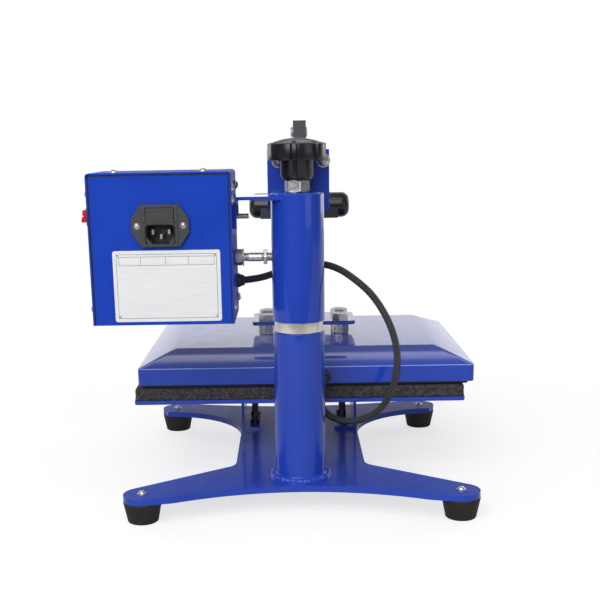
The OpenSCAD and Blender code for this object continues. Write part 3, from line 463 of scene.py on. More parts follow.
class Shape:
    """Solids in millimetres gathered into one mesh."""

    def __init__(self):
        self.bm = bmesh.new()

    def add(self, solid, at=(0, 0, 0), turn=UP):
        verts, faces = solid
        move = Matrix.Translation(Vector(at)) @ turn
        made = [self.bm.verts.new((move @ Vector(v)) * MM) for v in verts]
        for face in faces:
            self.bm.faces.new([made[i] for i in face])
        return self

    def mesh(self, name, sharp=32):
        return finish_mesh(self.bm, name, sharp)


def firm(mesh):
    """The mesh with its normals taken from the large faces, so that flats stay flat."""
    thing = placed("firming", mesh)
    keep = thing.modifiers.new("firm", "WEIGHTED_NORMAL")
    keep.keep_sharp = True
    keep.weight = 100
    ready = thing.evaluated_get(bpy.context.evaluated_depsgraph_get())
    made = bpy.data.meshes.new_from_object(ready)
    bpy.data.objects.remove(thing)
    return made


def soft_copy(node, bevel, segments):
    """The node's own solid with its sharp edges rounded, as a fresh mesh."""
    bm = bmesh.new()
    bm.from_mesh(frame["nodes"][node].data)
    bmesh.ops.remove_doubles(bm, verts=bm.verts, dist=1e-6)
    bmesh.ops.dissolve_limit(bm, angle_limit=math.radians(0.4), verts=bm.verts, edges=bm.edges)
    edges = [e for e in bm.edges if e.is_manifold and e.calc_face_angle(0) > math.radians(32)]
    bmesh.ops.bevel(
        bm, geom=edges, offset=bevel * MM, segments=segments, profile=0.5,
        affect="EDGES", clamp_overlap=True,
    )
    return firm(finish_mesh(bm, node, 40))


# ---- Pieces that keep their CAD form ----

# Each node here gets rounded edges: its material, its bevel in millimetres and the bevel's segments.
DRESSED = {
    "base_frame": (BLUE, 1.0, 3),
    "platen_supports": (BLUE, 0.7, 2),
    "lower_platen": (BLUE, 0.8, 2),
    "thrust_ring": (CHROME, 0.6, 2),
    "sleeve": (BLUE, 0.5, 2),
    "post_tube": (BLUE, 0.5, 2),
    "arm_frame": (BLUE, 0.7, 2),
    "arm_plate": (BLUE, 0.7, 2),
    "lever_clevis": (GUNMETAL, 0.9, 3),
    "ram_guide": (GUNMETAL, 0.8, 2),
    "box_body": (SATIN_BLUE, 0.65, 3),
    "box_cover": (SATIN_BLUE, 0.6, 3),
    "controller": (MATT, 0.6, 2),
    "switch_housing": (DARK, 0.3, 2),
    "inlet_body": (MATT, 0.35, 2),
    "lever": (GUNMETAL, 0.7, 2),
    "handle_grip": (GRIP, 0.4, 2),
    "links": (GUNMETAL, 0.4, 2),
    "ram": (GROUND, 0.5, 2),
    "mounting_plate": (BLUE, 0.6, 2),
    "head_cover": (BLUE, 1.2, 3),
    "heating_platen": (COATED, 0.6, 2),
    "rubber_feet": (RUBBER, 1.2, 3),
    "fuse_drawer": (MATT, 0.3, 2),
    "rocker": (RED, 0.35, 2),
    "key_set": (KEY, 0.7, 2),
    "key_shift": (KEY, 0.7, 2),
    "key_down": (KEY, 0.7, 2),
    "key_up": (KEY, 0.7, 2),
    "display_window": (SCREEN, 0.2, 1),
    "power_relay": (RELAY, 1.0, 2),
}
# These are hidden, or too small for rounding to show, and keep their CAD mesh as it is.
PLAIN = {
    "spindle": GROUND, "sleeve_bushes": BRONZE, "heating_element": ELEMENT,
    "insulation_board": BOARD, "fuse": ZINC, "inlet_pins": CHROME,
}
for node, (material, bevel, segments) in DRESSED.items():
    piece(node + "_dressed", soft_copy(node, bevel, segments), material, node)
for node, material in PLAIN.items():
    data = frame["nodes"][node].data
    data.materials.clear()
    data.materials.append(material)


# ---- Places that the detailed pieces share, in millimetres ----


def spot(node):
    """The node's box at rest, in millimetres: its low corner, its high corner and its middle."""
    low, high = (Vector(corner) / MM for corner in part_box(node))
    return low, high, (low + high) / 2


BASE_TOP = spot("base_frame")[1].z
SLEEVE_TOP = spot("sleeve")[1].z
PLATE_TOP = spot("mounting_plate")[1].z
COVER_TOP = spot("head_cover")[1].z
BOX = spot("box_cover")
ARM = spot("arm_frame")
COVER_SHOULDER = 121.4  # where the cover's slope meets its sides
TUBE_RADIUS = 24  # of the post and of the sleeve above it
rng = random.Random(7)


def all_of(xs, ys):
    return [(x, y) for x in xs for y in ys]


# ---- Adjuster: star knob, screw and nut ----

LOBES = 8
LOBE_TURN = math.radians(6)


def knob_outline(angle, radius, z):
    """Broad lobes with narrow flutes between them, shallower on the hub."""
    phase = abs(((angle + LOBE_TURN) * LOBES / (2 * math.pi)) % 1 - 0.5)
    dip = min(1.0, max(0.0, (phase - 0.345) / 0.06))
    if radius > 20:
        return radius - 2.6 * dip * min(1.0, (radius - 19) / 5)
    return radius - (0.9 * dip if radius > 13.6 and z < KNOB[0].z + 16.5 else 0)


KNOB = spot("star_knob")
hub, lobes, crown = KNOB[0].z, KNOB[0].z + 16.7, KNOB[1].z
edge = KNOB[1].x
profile = [
    (12.5, hub + 2.7), (12.5, hub + 0.1), (13.2, hub), (14.6, hub + 2.4), (15, hub + 3.6),
    (15, lobes - 0.8), (15.4, lobes - 0.1), (16.2, lobes), (edge - 0.8, lobes),
    (edge - 0.2, lobes + 0.3), (edge, lobes + 0.9), (edge, lobes + 13.6), (edge - 0.2, lobes + 14.3),
    (edge - 0.9, lobes + 14.8), (edge - 3.5, lobes + 15.3), (edge - 5.6, lobes + 15.9),
    (18, lobes + 16.8), (14, lobes + 17.9), (10, crown - 0.85), (6, crown - 0.3),
    (2.5, crown - 0.05), (0.6, crown),
]
shape = Shape().add(turned(profile, 360, knob_outline))
piece("star_knob_moulded", shape.mesh("star_knob"), GLOSS, "star_knob")

nut_height = spot("adjuster_nut")[1].z - SLEEVE_TOP
shape = Shape().add(hex_nut(21, nut_height, 14.2, math.radians(-18)), (0, 0, SLEEVE_TOP))
piece("adjuster_nut_turned", shape.mesh("adjuster_nut"), NUT, "adjuster_nut")
screw = spot("pressure_screw")
shape = Shape().add(threaded(14, screw[0].z, screw[1].z, 2.0))
piece("pressure_screw_thread", shape.mesh("pressure_screw", 60), ZINC, "pressure_screw")


# ---- Fasteners ----

FOOT_X, FOOT_Y = (-146, 146), (48, -262)
washer = [(4.2, 0), (4.4, 0.15), (4.4, 0.6), (4.1, 0.8), (2.4, 0.8)]
shape = Shape()
for x, y in all_of(FOOT_X, FOOT_Y):
    shape.add(turned(washer, 40), (x, y, BASE_TOP))
    shape.add(dome_head(6.8, 2.4, "cross"), (x, y, BASE_TOP + 0.7))
    shape.add(turned([(3, 7), (3, BASE_TOP + 0.5)], 24), (x, y, 0))
piece("foot_screws", shape.mesh("foot_screws"), ZINC, "foot_bolts")

studs = spot("support_studs")
STUDS = all_of((-49.5, 49.5), (-177, -211))
NUT_LEVELS = (15, 29, 77.5)
shape = Shape()
for x, y in STUDS:
    shape.add(threaded(6, studs[0].z, studs[1].z, 1.0, (29, 82), 24), (x, y, 0))
piece("support_studs_threaded", shape.mesh("studs", 60), BLACKENED, "support_studs")
shape = Shape()
for i, (x, y) in enumerate(STUDS):
    for j, z in enumerate(NUT_LEVELS):
        shape.add(hex_nut(10, 5, 6, 0.5 * i + 0.7 * j), (x, y, z))
piece("support_nuts_chamfered", shape.mesh("nuts"), BLACKENED, "support_nuts")

heads = spot("mounting_bolts")
shape = Shape()
MOUNTS = all_of((heads[2].x - 39.5, heads[2].x + 39.5), (PIN_Y - 16, PIN_Y + 16))
for i, (x, y) in enumerate(MOUNTS):
    shape.add(hex_head(16, 6.4, (0.0, 0.35, 0.9, 0.15)[i]), (x, y, PLATE_TOP))
    shape.add(threaded(10, heads[0].z, PLATE_TOP + 1, 1.5), (x, y, 0))
piece("mounting_bolts_headed", shape.mesh("mounting_bolts", 60), ZINC, "mounting_bolts")
shape = Shape()
for i, (x, y) in enumerate(MOUNTS):
    shape.add(hex_nut(16, 11, 10, (0.2, 0.8, 0.5, 0.1)[i]), (x, y, COVER_TOP))
    shape.add(hex_nut(16, 8, 10, 0.4), (x, y, COVER_TOP - 9.5))
piece("mounting_nuts_chamfered", shape.mesh("mounting_nuts"), ZINC, "mounting_nuts")

ARM_BOLT_X, ARM_BOLT_Z = (-24.5, 16.5), 320
front_face, rear_face = (corner.y for corner in spot("arm_plate")[:2])
washer = [(4.2, 0), (6.4, 0), (6.6, 0.3), (6.4, 0.7), (4.2, 0.7)]
shape = Shape()
for x in ARM_BOLT_X:
    at = (x, rear_face, ARM_BOLT_Z)
    shape.add(turned(washer, 48), at, TO_REAR)
    shape.add(dome_head(10.4, 3.4, "hex", 60), (x, rear_face + 0.6, ARM_BOLT_Z), TO_REAR)
    shape.add(turned([(2.98, -16), (2.98, 0.6)], 24), at, TO_REAR)
piece("arm_bolts_domed", shape.mesh("arm_bolts"), ZINC, "arm_bolts")

SADDLE_Z = (251, 266)
SPACER = ((-41, 287), (-110, 308), (-130, 308))
guide = spot("ram_guide")
GUIDE = ((PIN_Y + 14, guide[2].z), (PIN_Y - 14, guide[2].z))
cap = [(5, 0), (5, 4.5), (4.6, 5), (2.6, 5), (2.6, 2.4)]
shape = Shape()
for x, z in all_of((HEAD_X - 12, HEAD_X + 12), SADDLE_Z):
    shape.add(turned([(2.98, -8), (2.98, 0.2)], 24), (x, front_face, z), TO_FRONT)
    shape.add(turned(cap, 48), (x, front_face, z), TO_FRONT)
for side, turn in SIDES:
    wall = HEAD_X + side * 25
    for y, z in SPACER + GUIDE:
        shape.add(turned([(2.98, -12), (2.98, 0)], 24), (wall, y, z), turn)
    for y, z in SPACER:
        shape.add(dome_head(10, 3.3, "hex", 60), (wall, y, z), turn)
piece("arm_screws_socket", shape.mesh("arm_screws"), BLACKENED, "arm_screws")

PIN_HALF = 6.6
rivet = [
    (5.0, 0), (5.5, 0.3), (5.5, 0.9), (4.9, 1.7), (3.4, 2.3), (1.6, 2.6), (1.2, 2.2), (0.6, 2.1),
]
for node in ("lever_pin", "knee_pin", "ram_pin"):
    _, y, z = spot(node)[2]
    shaft = turned([(3.98, -PIN_HALF), (3.98, PIN_HALF)], 32)
    shape = Shape().add(shaft, (HEAD_X, y, z), TO_PLUS_X)
    for side, turn in SIDES:
        shape.add(turned(rivet, 40), (HEAD_X + side * PIN_HALF, y, z), turn)
    piece(node + "_riveted", shape.mesh(node), ZINC, node)

stay = spot("box_stay")
rod = threaded(8, stay[0].x, stay[1].x, 1.25, (33, 45), 32)
shape = Shape().add(rod, (0, 0, stay[2].z), TO_PLUS_X)
for i, (x, height) in enumerate(((BOX[0].x - 6.5, 6.5), (BOX[0].x + 1.5, 6.5), (28, 3.5))):
    shape.add(hex_nut(13, height, 8, 0.3 * i), (x, 0, stay[2].z), TO_PLUS_X)
washer = [(4.4, 0), (7.9, 0), (8.1, 0.3), (7.9, 1.0), (4.4, 1.0)]
shape.add(turned(washer, 48), (BOX[0].x - 7.6, 0, stay[2].z), TO_PLUS_X)
piece("box_stay_threaded", shape.mesh("box_stay", 60), ZINC, "box_stay")

tie = spot("bracket_bolt")
rod = threaded(5, tie[0].x, tie[1].x - 2, 0.8, (), 24)
head = [(2.5, 0), (4.5, 0), (4.5, 2.4), (3.6, 3.4), (1.2, 3.5)]
shape = Shape().add(rod, (0, 0, tie[2].z), TO_PLUS_X)
shape.add(turned(head, 32), (tie[1].x - 3.5, 0, tie[2].z), TO_PLUS_X)
piece("bracket_bolt_threaded", shape.mesh("bracket_bolt", 60), ZINC, "bracket_bolt")

shape = Shape()
SCREW_TURNS = iter([0.3, 1.1, 0.7, 0.1, 1.4, 0.9, 0.5, 1.2, 0.2, 0.8, 1.0, 0.4])


def box_screw(at, turn):
    spin = turn @ Matrix.Rotation(next(SCREW_TURNS), 4, "Z")
    shape.add(turned([(1.98, -6), (1.98, 0.1)], 16), at, spin)
    shape.add(turned([(2.4, 0), (4.9, 0), (5.0, 0.25), (4.9, 0.5), (2.4, 0.5)], 40), at, spin)
    shape.add(dome_head(7.8, 2.5, "cross", 48), Vector(at) + turn @ Vector((0, 0, 0.4)), spin)


box_mid = (BOX[0].x + BOX[1].x) / 2
rear_row, front_row = BOX[1].y - 9, BOX[0].y + 9
for x in (box_mid - 38.5, box_mid + 38.5):
    box_screw((x, rear_row, BOX[1].z), UP)
for wall, turn, upper in ((BOX[0].x, TO_MINUS_X, (14.5, 24.5)), (BOX[1].x, TO_PLUS_X, (17.5,))):
    for drop in upper:
        box_screw((wall, rear_row, BOX[1].z - drop), turn)
    box_screw((wall, rear_row, BOX[0].z + 14), turn)
    for z in (BOX[1].z - 14, BOX[0].z + 14):
        box_screw((wall, front_row, z), turn)
piece("box_screws_cross", shape.mesh("box_screws"), ZINC, "box_screws")


# ---- Rear of the control box: inlet and plate ----


def level_rows(rows):
    """Points of flat outlines, each at its own height."""
    return [(x, y, z) for loop, z in rows for x, y in loop]


def plate_between(outer, inner, depth, round_by=0.3):
    """A flat frame between two outlines of as many points, with its front edges broken."""
    rows = [(outer, 0.0), (outer, depth - round_by), (nudged(outer, -round_by), depth)]
    rows += [(nudged(inner, round_by), depth), (inner, depth - round_by), (inner, 0.0)]
    return level_rows(rows), skin(len(rows), len(outer), True)


def solid_plate(loop, depth, edge_round):
    """A flat plate from one outline, with its front edge broken."""
    rows = [(loop, 0.0), (loop, depth - edge_round), (nudged(loop, -edge_round), depth)]
    return level_rows(rows), skin(len(rows), len(loop))


def nudged(loop, by):
    """The outline moved outwards by a small distance at each point, from its own middle."""
    cx = sum(p[0] for p in loop) / len(loop)
    cy = sum(p[1] for p in loop) / len(loop)
    return [(x + by * (1 if x > cx else -1), y + by * (1 if y > cy else -1)) for x, y in loop]


def rounded_loop(width, height, radius, cx=0.0, cy=0.0, steps=6):
    """The outline of a rectangle with round corners."""
    loop = []
    for quarter, (sx, sy) in enumerate(((1, 1), (-1, 1), (-1, -1), (1, -1))):
        for k in range(steps + 1):
            a = math.radians(90 * quarter + 90 * k / steps)
            loop.append((
                cx + sx * (width / 2 - radius) + radius * math.cos(a),
                cy + sy * (height / 2 - radius) + radius * math.sin(a),
            ))
    return loop


INLET = spot("inlet_body")
INLET_AT = (INLET[2].x, INLET[1].y, INLET[2].z)
INLET_TURN = TO_REAR @ Matrix.Rotation(math.pi, 4, "Z")
shape = Shape()
for outer, inner in (
    (rounded_loop(31, 14.4, 1.2, 0, 10.4), rounded_loop(24.6, 12.6, 0.8, 0, 9.2)),
    (rounded_loop(31, 20.6, 1.2, 0, -7.4), rounded_loop(26, 17.4, 3.0, 0, -7.5)),
):
    shape.add(plate_between(outer, inner, 0.8), INLET_AT, INLET_TURN)
piece("inlet_rims", shape.mesh("inlet_rims"), MATT, "inlet_body", False)
mouth = plate_between(
    rounded_loop(28.8, 19.2, 1.6, 0, -7.6), rounded_loop(24.2, 16.2, 3.4, 0, -7.6), 0.3
)
shape = Shape().add(mouth, INLET_AT, INLET_TURN)
piece("inlet_mouth_gloss", shape.mesh("inlet_mouth"), GLOSS, "inlet_body", False)
drawer = spot("fuse_drawer")
rim = plate_between(rounded_loop(20, 7.4, 1.2), rounded_loop(18.6, 6.0, 0.8), 0.35, 0.12)
shape = Shape().add(rim, (drawer[2].x, drawer[1].y - 0.02, drawer[2].z + 0.8), TO_REAR)
shape.add(brick(-4.5, 0, -0.5, 4.5, 0.5, 0.5), (drawer[2].x, drawer[1].y - 0.1, drawer[2].z - 4.6))
piece("fuse_drawer_relief", shape.mesh("fuse_drawer_relief"), MATT, "fuse_drawer", False)
shape = Shape()
for x, spin in ((-20, 0.4), (20, 1.0)):
    at = (INLET[2].x + x, INLET[1].y, INLET[2].z)
    shape.add(turned([(1.6, -8), (1.6, 0.1)], 16), at, TO_REAR)
    shape.add(dome_head(6.2, 2.0, "cross", 48), at, TO_REAR @ Matrix.Rotation(spin, 4, "Z"))
piece("inlet_screws_cross", shape.mesh("inlet_screws"), ZINC, "inlet_screws")

label = spot("rating_plate")
WIDE, TALL = label[1].x - label[0].x, label[1].z - label[0].z
shape = Shape().add(
    solid_plate(rounded_loop(WIDE, TALL, 2.2), 0.5, 0.15), (label[2].x, label[0].y, label[2].z), TO_REAR
)
piece("rating_plate_blank", shape.mesh("rating_plate"), PLATE, "rating_plate")


def plate_lines():
    """The bare grid of the plate: a border with notched corners, a head row and its columns."""
    half_w, half_h, notch, thick = WIDE / 2 - 3.2, TALL / 2 - 3.2, 2.0, 0.32
    border = [
        (-half_w + notch, half_h), (half_w - notch, half_h), (half_w - notch, half_h - notch),
        (half_w, half_h - notch), (half_w, -half_h + notch), (half_w - notch, -half_h + notch),
        (half_w - notch, -half_h), (-half_w + notch, -half_h), (-half_w + notch, -half_h + notch),
        (-half_w, -half_h + notch), (-half_w, half_h - notch), (-half_w + notch, half_h - notch),
    ]
    strokes = list(zip(border, border[1:] + border[:1]))
    row_top, row_low = half_h - 2.2, half_h - 9.6
    inside = half_w - 2.2
    strokes += [((-inside, row_top), (inside, row_top)), ((-inside, row_low), (inside, row_low))]
    for share in (0.0, 0.23, 0.49, 0.73, 1.0):
        x = inside - 2 * inside * share
        strokes.append(((x, row_low), (x, row_top)))
    shape = Shape()
    for (x0, z0), (x1, z1) in strokes:
        a, b = min(x0, x1) - thick / 2, max(x0, x1) + thick / 2
        c, d = min(z0, z1) - thick / 2, max(z0, z1) + thick / 2
        shape.add(brick(a, 0, c, b, 0.07, d), (label[2].x, label[0].y + 0.49, label[2].z))
    dot = turned([(0.75, 0), (0.75, 0.06), (0.45, 0.06)], 20)
    for x, z in all_of((-half_w + 0.6, half_w - 0.6), (-half_h + 0.6, half_h - 0.6)):
        shape.add(dot, (label[2].x + x, label[0].y + 0.49, label[2].z + z), TO_REAR)
    return shape.mesh("plate_lines")


piece("rating_plate_lines", plate_lines(), PRINT, "rating_plate", False)

# Painted shade: thin near-black strips along the sides and top of the box's rear face stand for the
# shadow in the gap between cover and body.
GAP_SHADE_WIDTH = 1.1
body = spot("box_body")
left, right, low, high = body[0].x + 0.1, body[1].x - 0.1, body[0].z + 1, body[1].z - 0.1
shape = Shape()
for x0, z0, x1, z1 in (
    (left, low, left + GAP_SHADE_WIDTH, high),
    (right - GAP_SHADE_WIDTH, low, right, high),
    (left, high - GAP_SHADE_WIDTH, right, high + 0.05),
):
    shape.add(brick(x0, body[1].y - 0.6, z0, x1, body[1].y + 0.08, z1))
piece("box_gap_painted_shade", shape.mesh("box_gap_shade"), PAINTED_GAP_SHADE, "box_body", False)


# ---- Front of the control box: digits and key marks ----

SEGMENTS = {"0": "abcdef", "1": "bc", "6": "acdefg", "8": "abcdefg"}
SEGMENT_GAP = 0.12


def digit(shape, char, at, width, height):
    """One seven-segment digit on a face that looks to the front."""
    t = 0.13 * height
    w, h = width / 2, height / 2
    bars = {
        "a": (-w + t, h - t, w - t, h), "b": (w - t, t / 2, w, h - t / 2),
        "c": (w - t, -h + t / 2, w, -t / 2), "d": (-w + t, -h, w - t, -h + t),
        "e": (-w, -h + t / 2, -w + t, -t / 2), "f": (-w, t / 2, -w + t, h - t / 2),
        "g": (-w + t, -t / 2, w - t, t / 2),
    }
    for name in SEGMENTS[char]:
        x0, z0, x1, z1 = bars[name]
        shape.add(brick(
            x0 + SEGMENT_GAP, -0.1, z0 + SEGMENT_GAP, x1 - SEGMENT_GAP, 0, z1 - SEGMENT_GAP
        ), at)


screen = spot("display_window")
for name, text, level, height, material in (
    ("digits_upper", "180", 0.27, 12.0, DIGIT_RED), ("digits_lower", "060", -0.27, 9.0, DIGIT_GREEN),
):
    shape = Shape()
    z = screen[2].z + level * (screen[1].z - screen[0].z)
    for i, char in enumerate(text):
        x = screen[2].x + (i - 1) * height * 0.95
        digit(shape, char, (x, screen[0].y, z), height * 0.58, height)
    piece(name, shape.mesh(name), material, "display_window", False)


def arrow(turn_by, size=1.7):
    """A triangle that points up when not turned."""
    corners = [turn_by + k * 2 * math.pi / 3 for k in range(3)]
    verts = [(size * math.sin(a), y, size * math.cos(a)) for y in (-0.08, 0.0) for a in corners]
    return verts, [(0, 1, 2), (5, 4, 3), (0, 3, 4, 1), (1, 4, 5, 2), (2, 5, 3, 0)]


for node, mark in (
    ("key_set", turned([(1.3, 0), (1.3, 0.08), (0.6, 0.08)], 24)),
    ("key_shift", arrow(math.pi / 2)), ("key_down", arrow(math.pi)), ("key_up", arrow(0.0)),
):
    key = spot(node)
    shape = Shape().add(mark, (key[2].x, key[0].y, key[2].z), TO_FRONT if node == "key_set" else UP)
    piece(node + "_mark", shape.mesh(node + "_mark"), DARK, node, False)


# ---- Bent bracket of the box, with its rounded bend ----


def bent_bracket(rows=21, thick=3.0, bend=5.0):
    """A folded strip that runs from the sleeve to the box and turns down."""
    low, high, _ = spot("box_bracket")
    top, outer = high.z, high.x

    def corner(radius, degrees):
        return [
            (outer - bend + radius * math.sin(a), top - bend + radius * math.cos(a))
            for a in (math.radians(d) for d in degrees)
        ]

    verts = []
    for k in range(rows):
        y = low.y + (high.y - low.y) * k / (rows - 1)
        start = math.sqrt((TUBE_RADIUS + 0.02) ** 2 - y ** 2)
        path = [(start, top)] + corner(bend, range(0, 91, 15))
        path += [(outer, low.z), (outer - thick, low.z)]
        path += corner(bend - thick, range(90, -1, -15)) + [(start, top - thick)]
        verts += [(x, y, z) for x, z in path]
    return Shape().add((verts, skin(rows, len(path)))).mesh("box_bracket", 30)


piece("box_bracket_bent", bent_bracket(), BLUE, "box_bracket")


# ---- Weld beads ----


def bead(path, radius, closed=False, ripple=0.16, pitch=2.6):
    """A hand-laid weld bead along points in millimetres, with its ripples."""
    points = [Vector(p) for p in path]
    around, total, travelled = 10, len(points), 0.0
    verts = []
    for k, point in enumerate(points):
        before = points[(k - 1) % total] if closed or k else point
        after = points[(k + 1) % total] if closed or k < total - 1 else point
        along = (after - before).normalized()
        travelled += (point - before).length
        level = Vector((0, 1, 0) if abs(along.z) > 0.9 else (0, 0, 1))
        side = along.cross(level).normalized()
        up = side.cross(along)
        swell = 1 + ripple * math.sin(2 * math.pi * travelled / pitch) + rng.uniform(-0.06, 0.06)
        swell += 0.08 * math.sin(travelled * 0.31) + 0.06 * math.sin(travelled * 0.83)
        if not closed:
            swell *= min(1.0, 0.35 + 0.3 * min(k, total - 1 - k))
        verts += [
            point + (side * math.cos(a) + up * math.sin(a)) * radius * swell for a in angles(around)
        ]
    return verts, skin(total, around, closed)


def ring_path(radius, z, start=0.0, end=360.0, step=1.5):
    """Points round the Z axis, from one angle in degrees to another."""
    count = int((end - start) / step)
    return [polar(radius, math.radians(start + step * k), z) for k in range(count)]


def laid(name, beads, material, node):
    """Beads as one piece beside the node; each of them is what bead() takes."""
    shape = Shape()
    for settings in beads:
        shape.add(bead(*settings))
    piece(name, shape.mesh(name, 60), material, node, False)


laid("post_weld", [(ring_path(25.6, BASE_TOP + 1.5), 3.0, True, 0.1, 3.4)], BLUE, "post_tube")
bracket_z = spot("box_bracket")[1].z
laid("bracket_weld", [
    (ring_path(TUBE_RADIUS + 0.4, z, -50, 50), 1.3) for z in (bracket_z + 0.2, bracket_z - 3.2)
], BLUE, "box_bracket")
laid("arm_weld", [
    ([(x, front_face - 0.5, ARM[1].z - 52 + 1.5 * k) for k in range(34)], 1.2)
    for x in (ARM[0].x + 4.6, ARM[1].x - 4.6)
], BLUE, "arm_frame")


# ---- Painted highlights: light blue lines on the folded edges of the cover ----

cover = spot("head_cover")
wide, deep = cover[1].x - cover[0].x - 1.3, cover[1].y - cover[0].y - 1.3
laid("cover_edge_painted_highlights", [
    ([(x, y, z) for x, y in rounded_loop(wide, deep, 4.4, cover[2].x, cover[2].y)], 0.52, True, 0.0)
    for z in (COVER_SHOULDER, cover[0].z + 0.65)
], HIGHLIGHT_BLUE, "head_cover")


# ---- Lead, glands and sponge pad ----

# The lead's middle line, from the gland at the box to the gland at the cover.
LEAD_D = 6.5
LEAD_PATH = [
    (66, -22, 211.5), (57, -22, 211.5), (47, -22.5, 212), (34, -26, 213.5), (20, -31.5, 217),
    (6, -36, 220.5), (-10, -37.5, 223.5), (-25, -35, 223.5), (-39, -28, 219.5),
    (-53, -18, 211), (-67, -8, 199), (-78, -1, 183.5), (-86, 4, 166), (-90.5, 6, 146),
    (-90, 5, 125), (-84.5, 1, 103.5), (-74.5, -6, 87), (-60, -15, 76.5), (-44, -24, 72.5),
    (-30, -30, 75.5), (-22, -31.5, 85.5), (-21.5, -30.5, 97.5), (-23.5, -32.5, 106.5),
    (-25, -37.5, 111.6), (-25, -44.5, 112.4), (-25, -51, 112.4),
]


def smooth_path(points, steps):
    """A Catmull-Rom curve through the points."""
    out = []
    p = [Vector(v) for v in points]
    p = [2 * p[0] - p[1]] + p + [2 * p[-1] - p[-2]]
    for k in range(1, len(p) - 2):
        for i in range(steps):
            t = i / steps
            a, b, c, d = p[k - 1], p[k], p[k + 1], p[k + 2]
            bend, twist = 2 * a - 5 * b + 4 * c - d, 3 * b - a - 3 * c + d
            out.append(0.5 * (2 * b + (c - a) * t + bend * t * t + twist * t ** 3))
    out.append(p[-2])
    return out


def tube_mesh(points, diameter, name, sides=28):
    """A round tube with UVs: once round it across, and its length in diameters along it."""
    bm = bmesh.new()
    uv = bm.loops.layers.uv.new("UVMap")
    rings, lengths = [], []
    normal = Vector((0, 0, 1))
    travelled = 0.0
    for k, point in enumerate(points):
        before, after = points[max(k - 1, 0)], points[min(k + 1, len(points) - 1)]
        along = (after - before).normalized()
        travelled += (point - before).length if k else 0.0
        normal = (normal - along * normal.dot(along)).normalized()
        side = along.cross(normal)
        rings.append([
            bm.verts.new((point + (normal * math.cos(a) + side * math.sin(a)) * diameter / 2) * MM)
            for a in angles(sides)
        ])
        lengths.append(travelled / diameter)
    for k in range(len(rings) - 1):
        for i in range(sides):
            j = (i + 1) % sides
            face = bm.faces.new((rings[k][i], rings[k][j], rings[k + 1][j], rings[k + 1][i]))
            face.smooth = True
            corners = ((i, k), (i + 1, k), (i + 1, k + 1), (i, k + 1))
            for loop, (across, row) in zip(face.loops, corners):
                loop[uv].uv = (across / sides, lengths[row])
    bm.faces.new(list(reversed(rings[0])))
    bm.faces.new(rings[-1])
    bmesh.ops.recalc_face_normals(bm, faces=bm.faces)
    mesh = bpy.data.meshes.new(name)
    bm.to_mesh(mesh)
    bm.free()
    return mesh


LEAD_LINE = smooth_path(LEAD_PATH, 8)
lead_mesh = tube_mesh(LEAD_LINE, LEAD_D, "lead")
lead_mesh.materials.append(BRAID)
lead = placed("lead_braided", lead_mesh)
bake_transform(lead)
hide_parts("heater_cable")


def ribbed(length, radius, neck):
    """The profile of a cable gland: a collar against the wall, then a ribbed, tapering nut."""
    rows = [(neck, 0.0), (radius, 0.0), (radius, length * 0.35), (radius * 0.9, length * 0.4)]
    for k in range(3):
        z = length * (0.45 + 0.15 * k)
        rows += [(radius * (0.9 - 0.05 * k), z), (radius * (0.82 - 0.05 * k), z + length * 0.08)]
    rows += [(neck + 0.6, length - 0.3), (neck, length)]
    return rows


def gland(node, length, at, out, back, nut_end):
    """A gland on the outside of a wall, with its nut on the inside."""
    nut = [(3.9, 0), (4.9, 0), (4.9, 1.5), (6.5, 1.6), (6.5, nut_end - 0.1), (3.9, nut_end)]
    shape = Shape().add(turned(ribbed(length, 6.5, 3.9), 60, None, True), at, out)
    shape.add(turned(nut, 48, None, True), at, back)
    piece(node + "_ribbed", shape.mesh(node), MATT, node)


WALL_Y = -46  # the rear face of the cover, where the lead goes in
middle = spot("box_gland")[2]
gland("box_gland", 7, (BOX[0].x, middle.y, middle.z), TO_MINUS_X, TO_PLUS_X, 5.5)
_, high, middle = spot("cable_gland")
gland("cable_gland", high.y - WALL_Y, (middle.x, WALL_Y, middle.z), TO_REAR, TO_FRONT, 4.7)


def sponge_pad():
    """The silicone sponge: a slab cut by hand, with slightly uneven sides."""
    low, high, middle = spot("silicone_pad")
    width, depth, height = high.x - low.x, high.y - low.y, high.z - low.z
    outline = rounded_loop(width, depth, 4)
    dense = []
    for (x0, y0), (x1, y1) in zip(outline, outline[1:] + outline[:1]):
        count = max(1, int(math.hypot(x1 - x0, y1 - y0) / 3))
        dense += [(x0 + (x1 - x0) * k / count, y0 + (y1 - y0) * k / count) for k in range(count)]

    def moved(value, half, inset, jitter):
        """A coordinate of the outline, moved where it lies near its side of the slab."""
        if abs(abs(value) - half) >= 4.1:
            return value
        return value * ((abs(value) + inset) / abs(value)) + jitter * math.copysign(1, value)

    rows = [(-0.7, 0.0), (-0.1, 0.5), (0.0, 1.6)]
    rows += [(-0.25 * math.sin(math.pi * k / 8), 1.6 + (height - 3.6) * k / 8) for k in range(1, 8)]
    rows += [(-0.2, height - 2.0), (-0.5, height - 0.9), (-1.2, height - 0.2), (-2.2, height)]
    verts = []
    for inset, z in rows:
        for x, y in dense:
            jitter = rng.uniform(-0.16, 0.0) - 0.12
            jitter += 0.12 * math.sin(x * 0.21 + z) * math.sin(y * 0.17 + 2 * z)
            px, py = (moved(v, size / 2, inset, jitter) for v, size in ((x, width), (y, depth)))
            verts.append((middle.x + px, middle.y + py, low.z + z))
    return Shape().add((verts, skin(len(rows), len(dense)))).mesh("silicone_pad", 70)


pad = piece("silicone_pad_sponge", sponge_pad(), SPONGE, "silicone_pad")


# ---- Camera, floor and light ----

# Place, angles, lens and shifts are fitted to the photo.
CAMERA_AT = Vector((0.007267, 0.925062, 0.335836))
YAW, PITCH, ROLL = (math.radians(a) for a in (0.70, 13.68, -1.02))


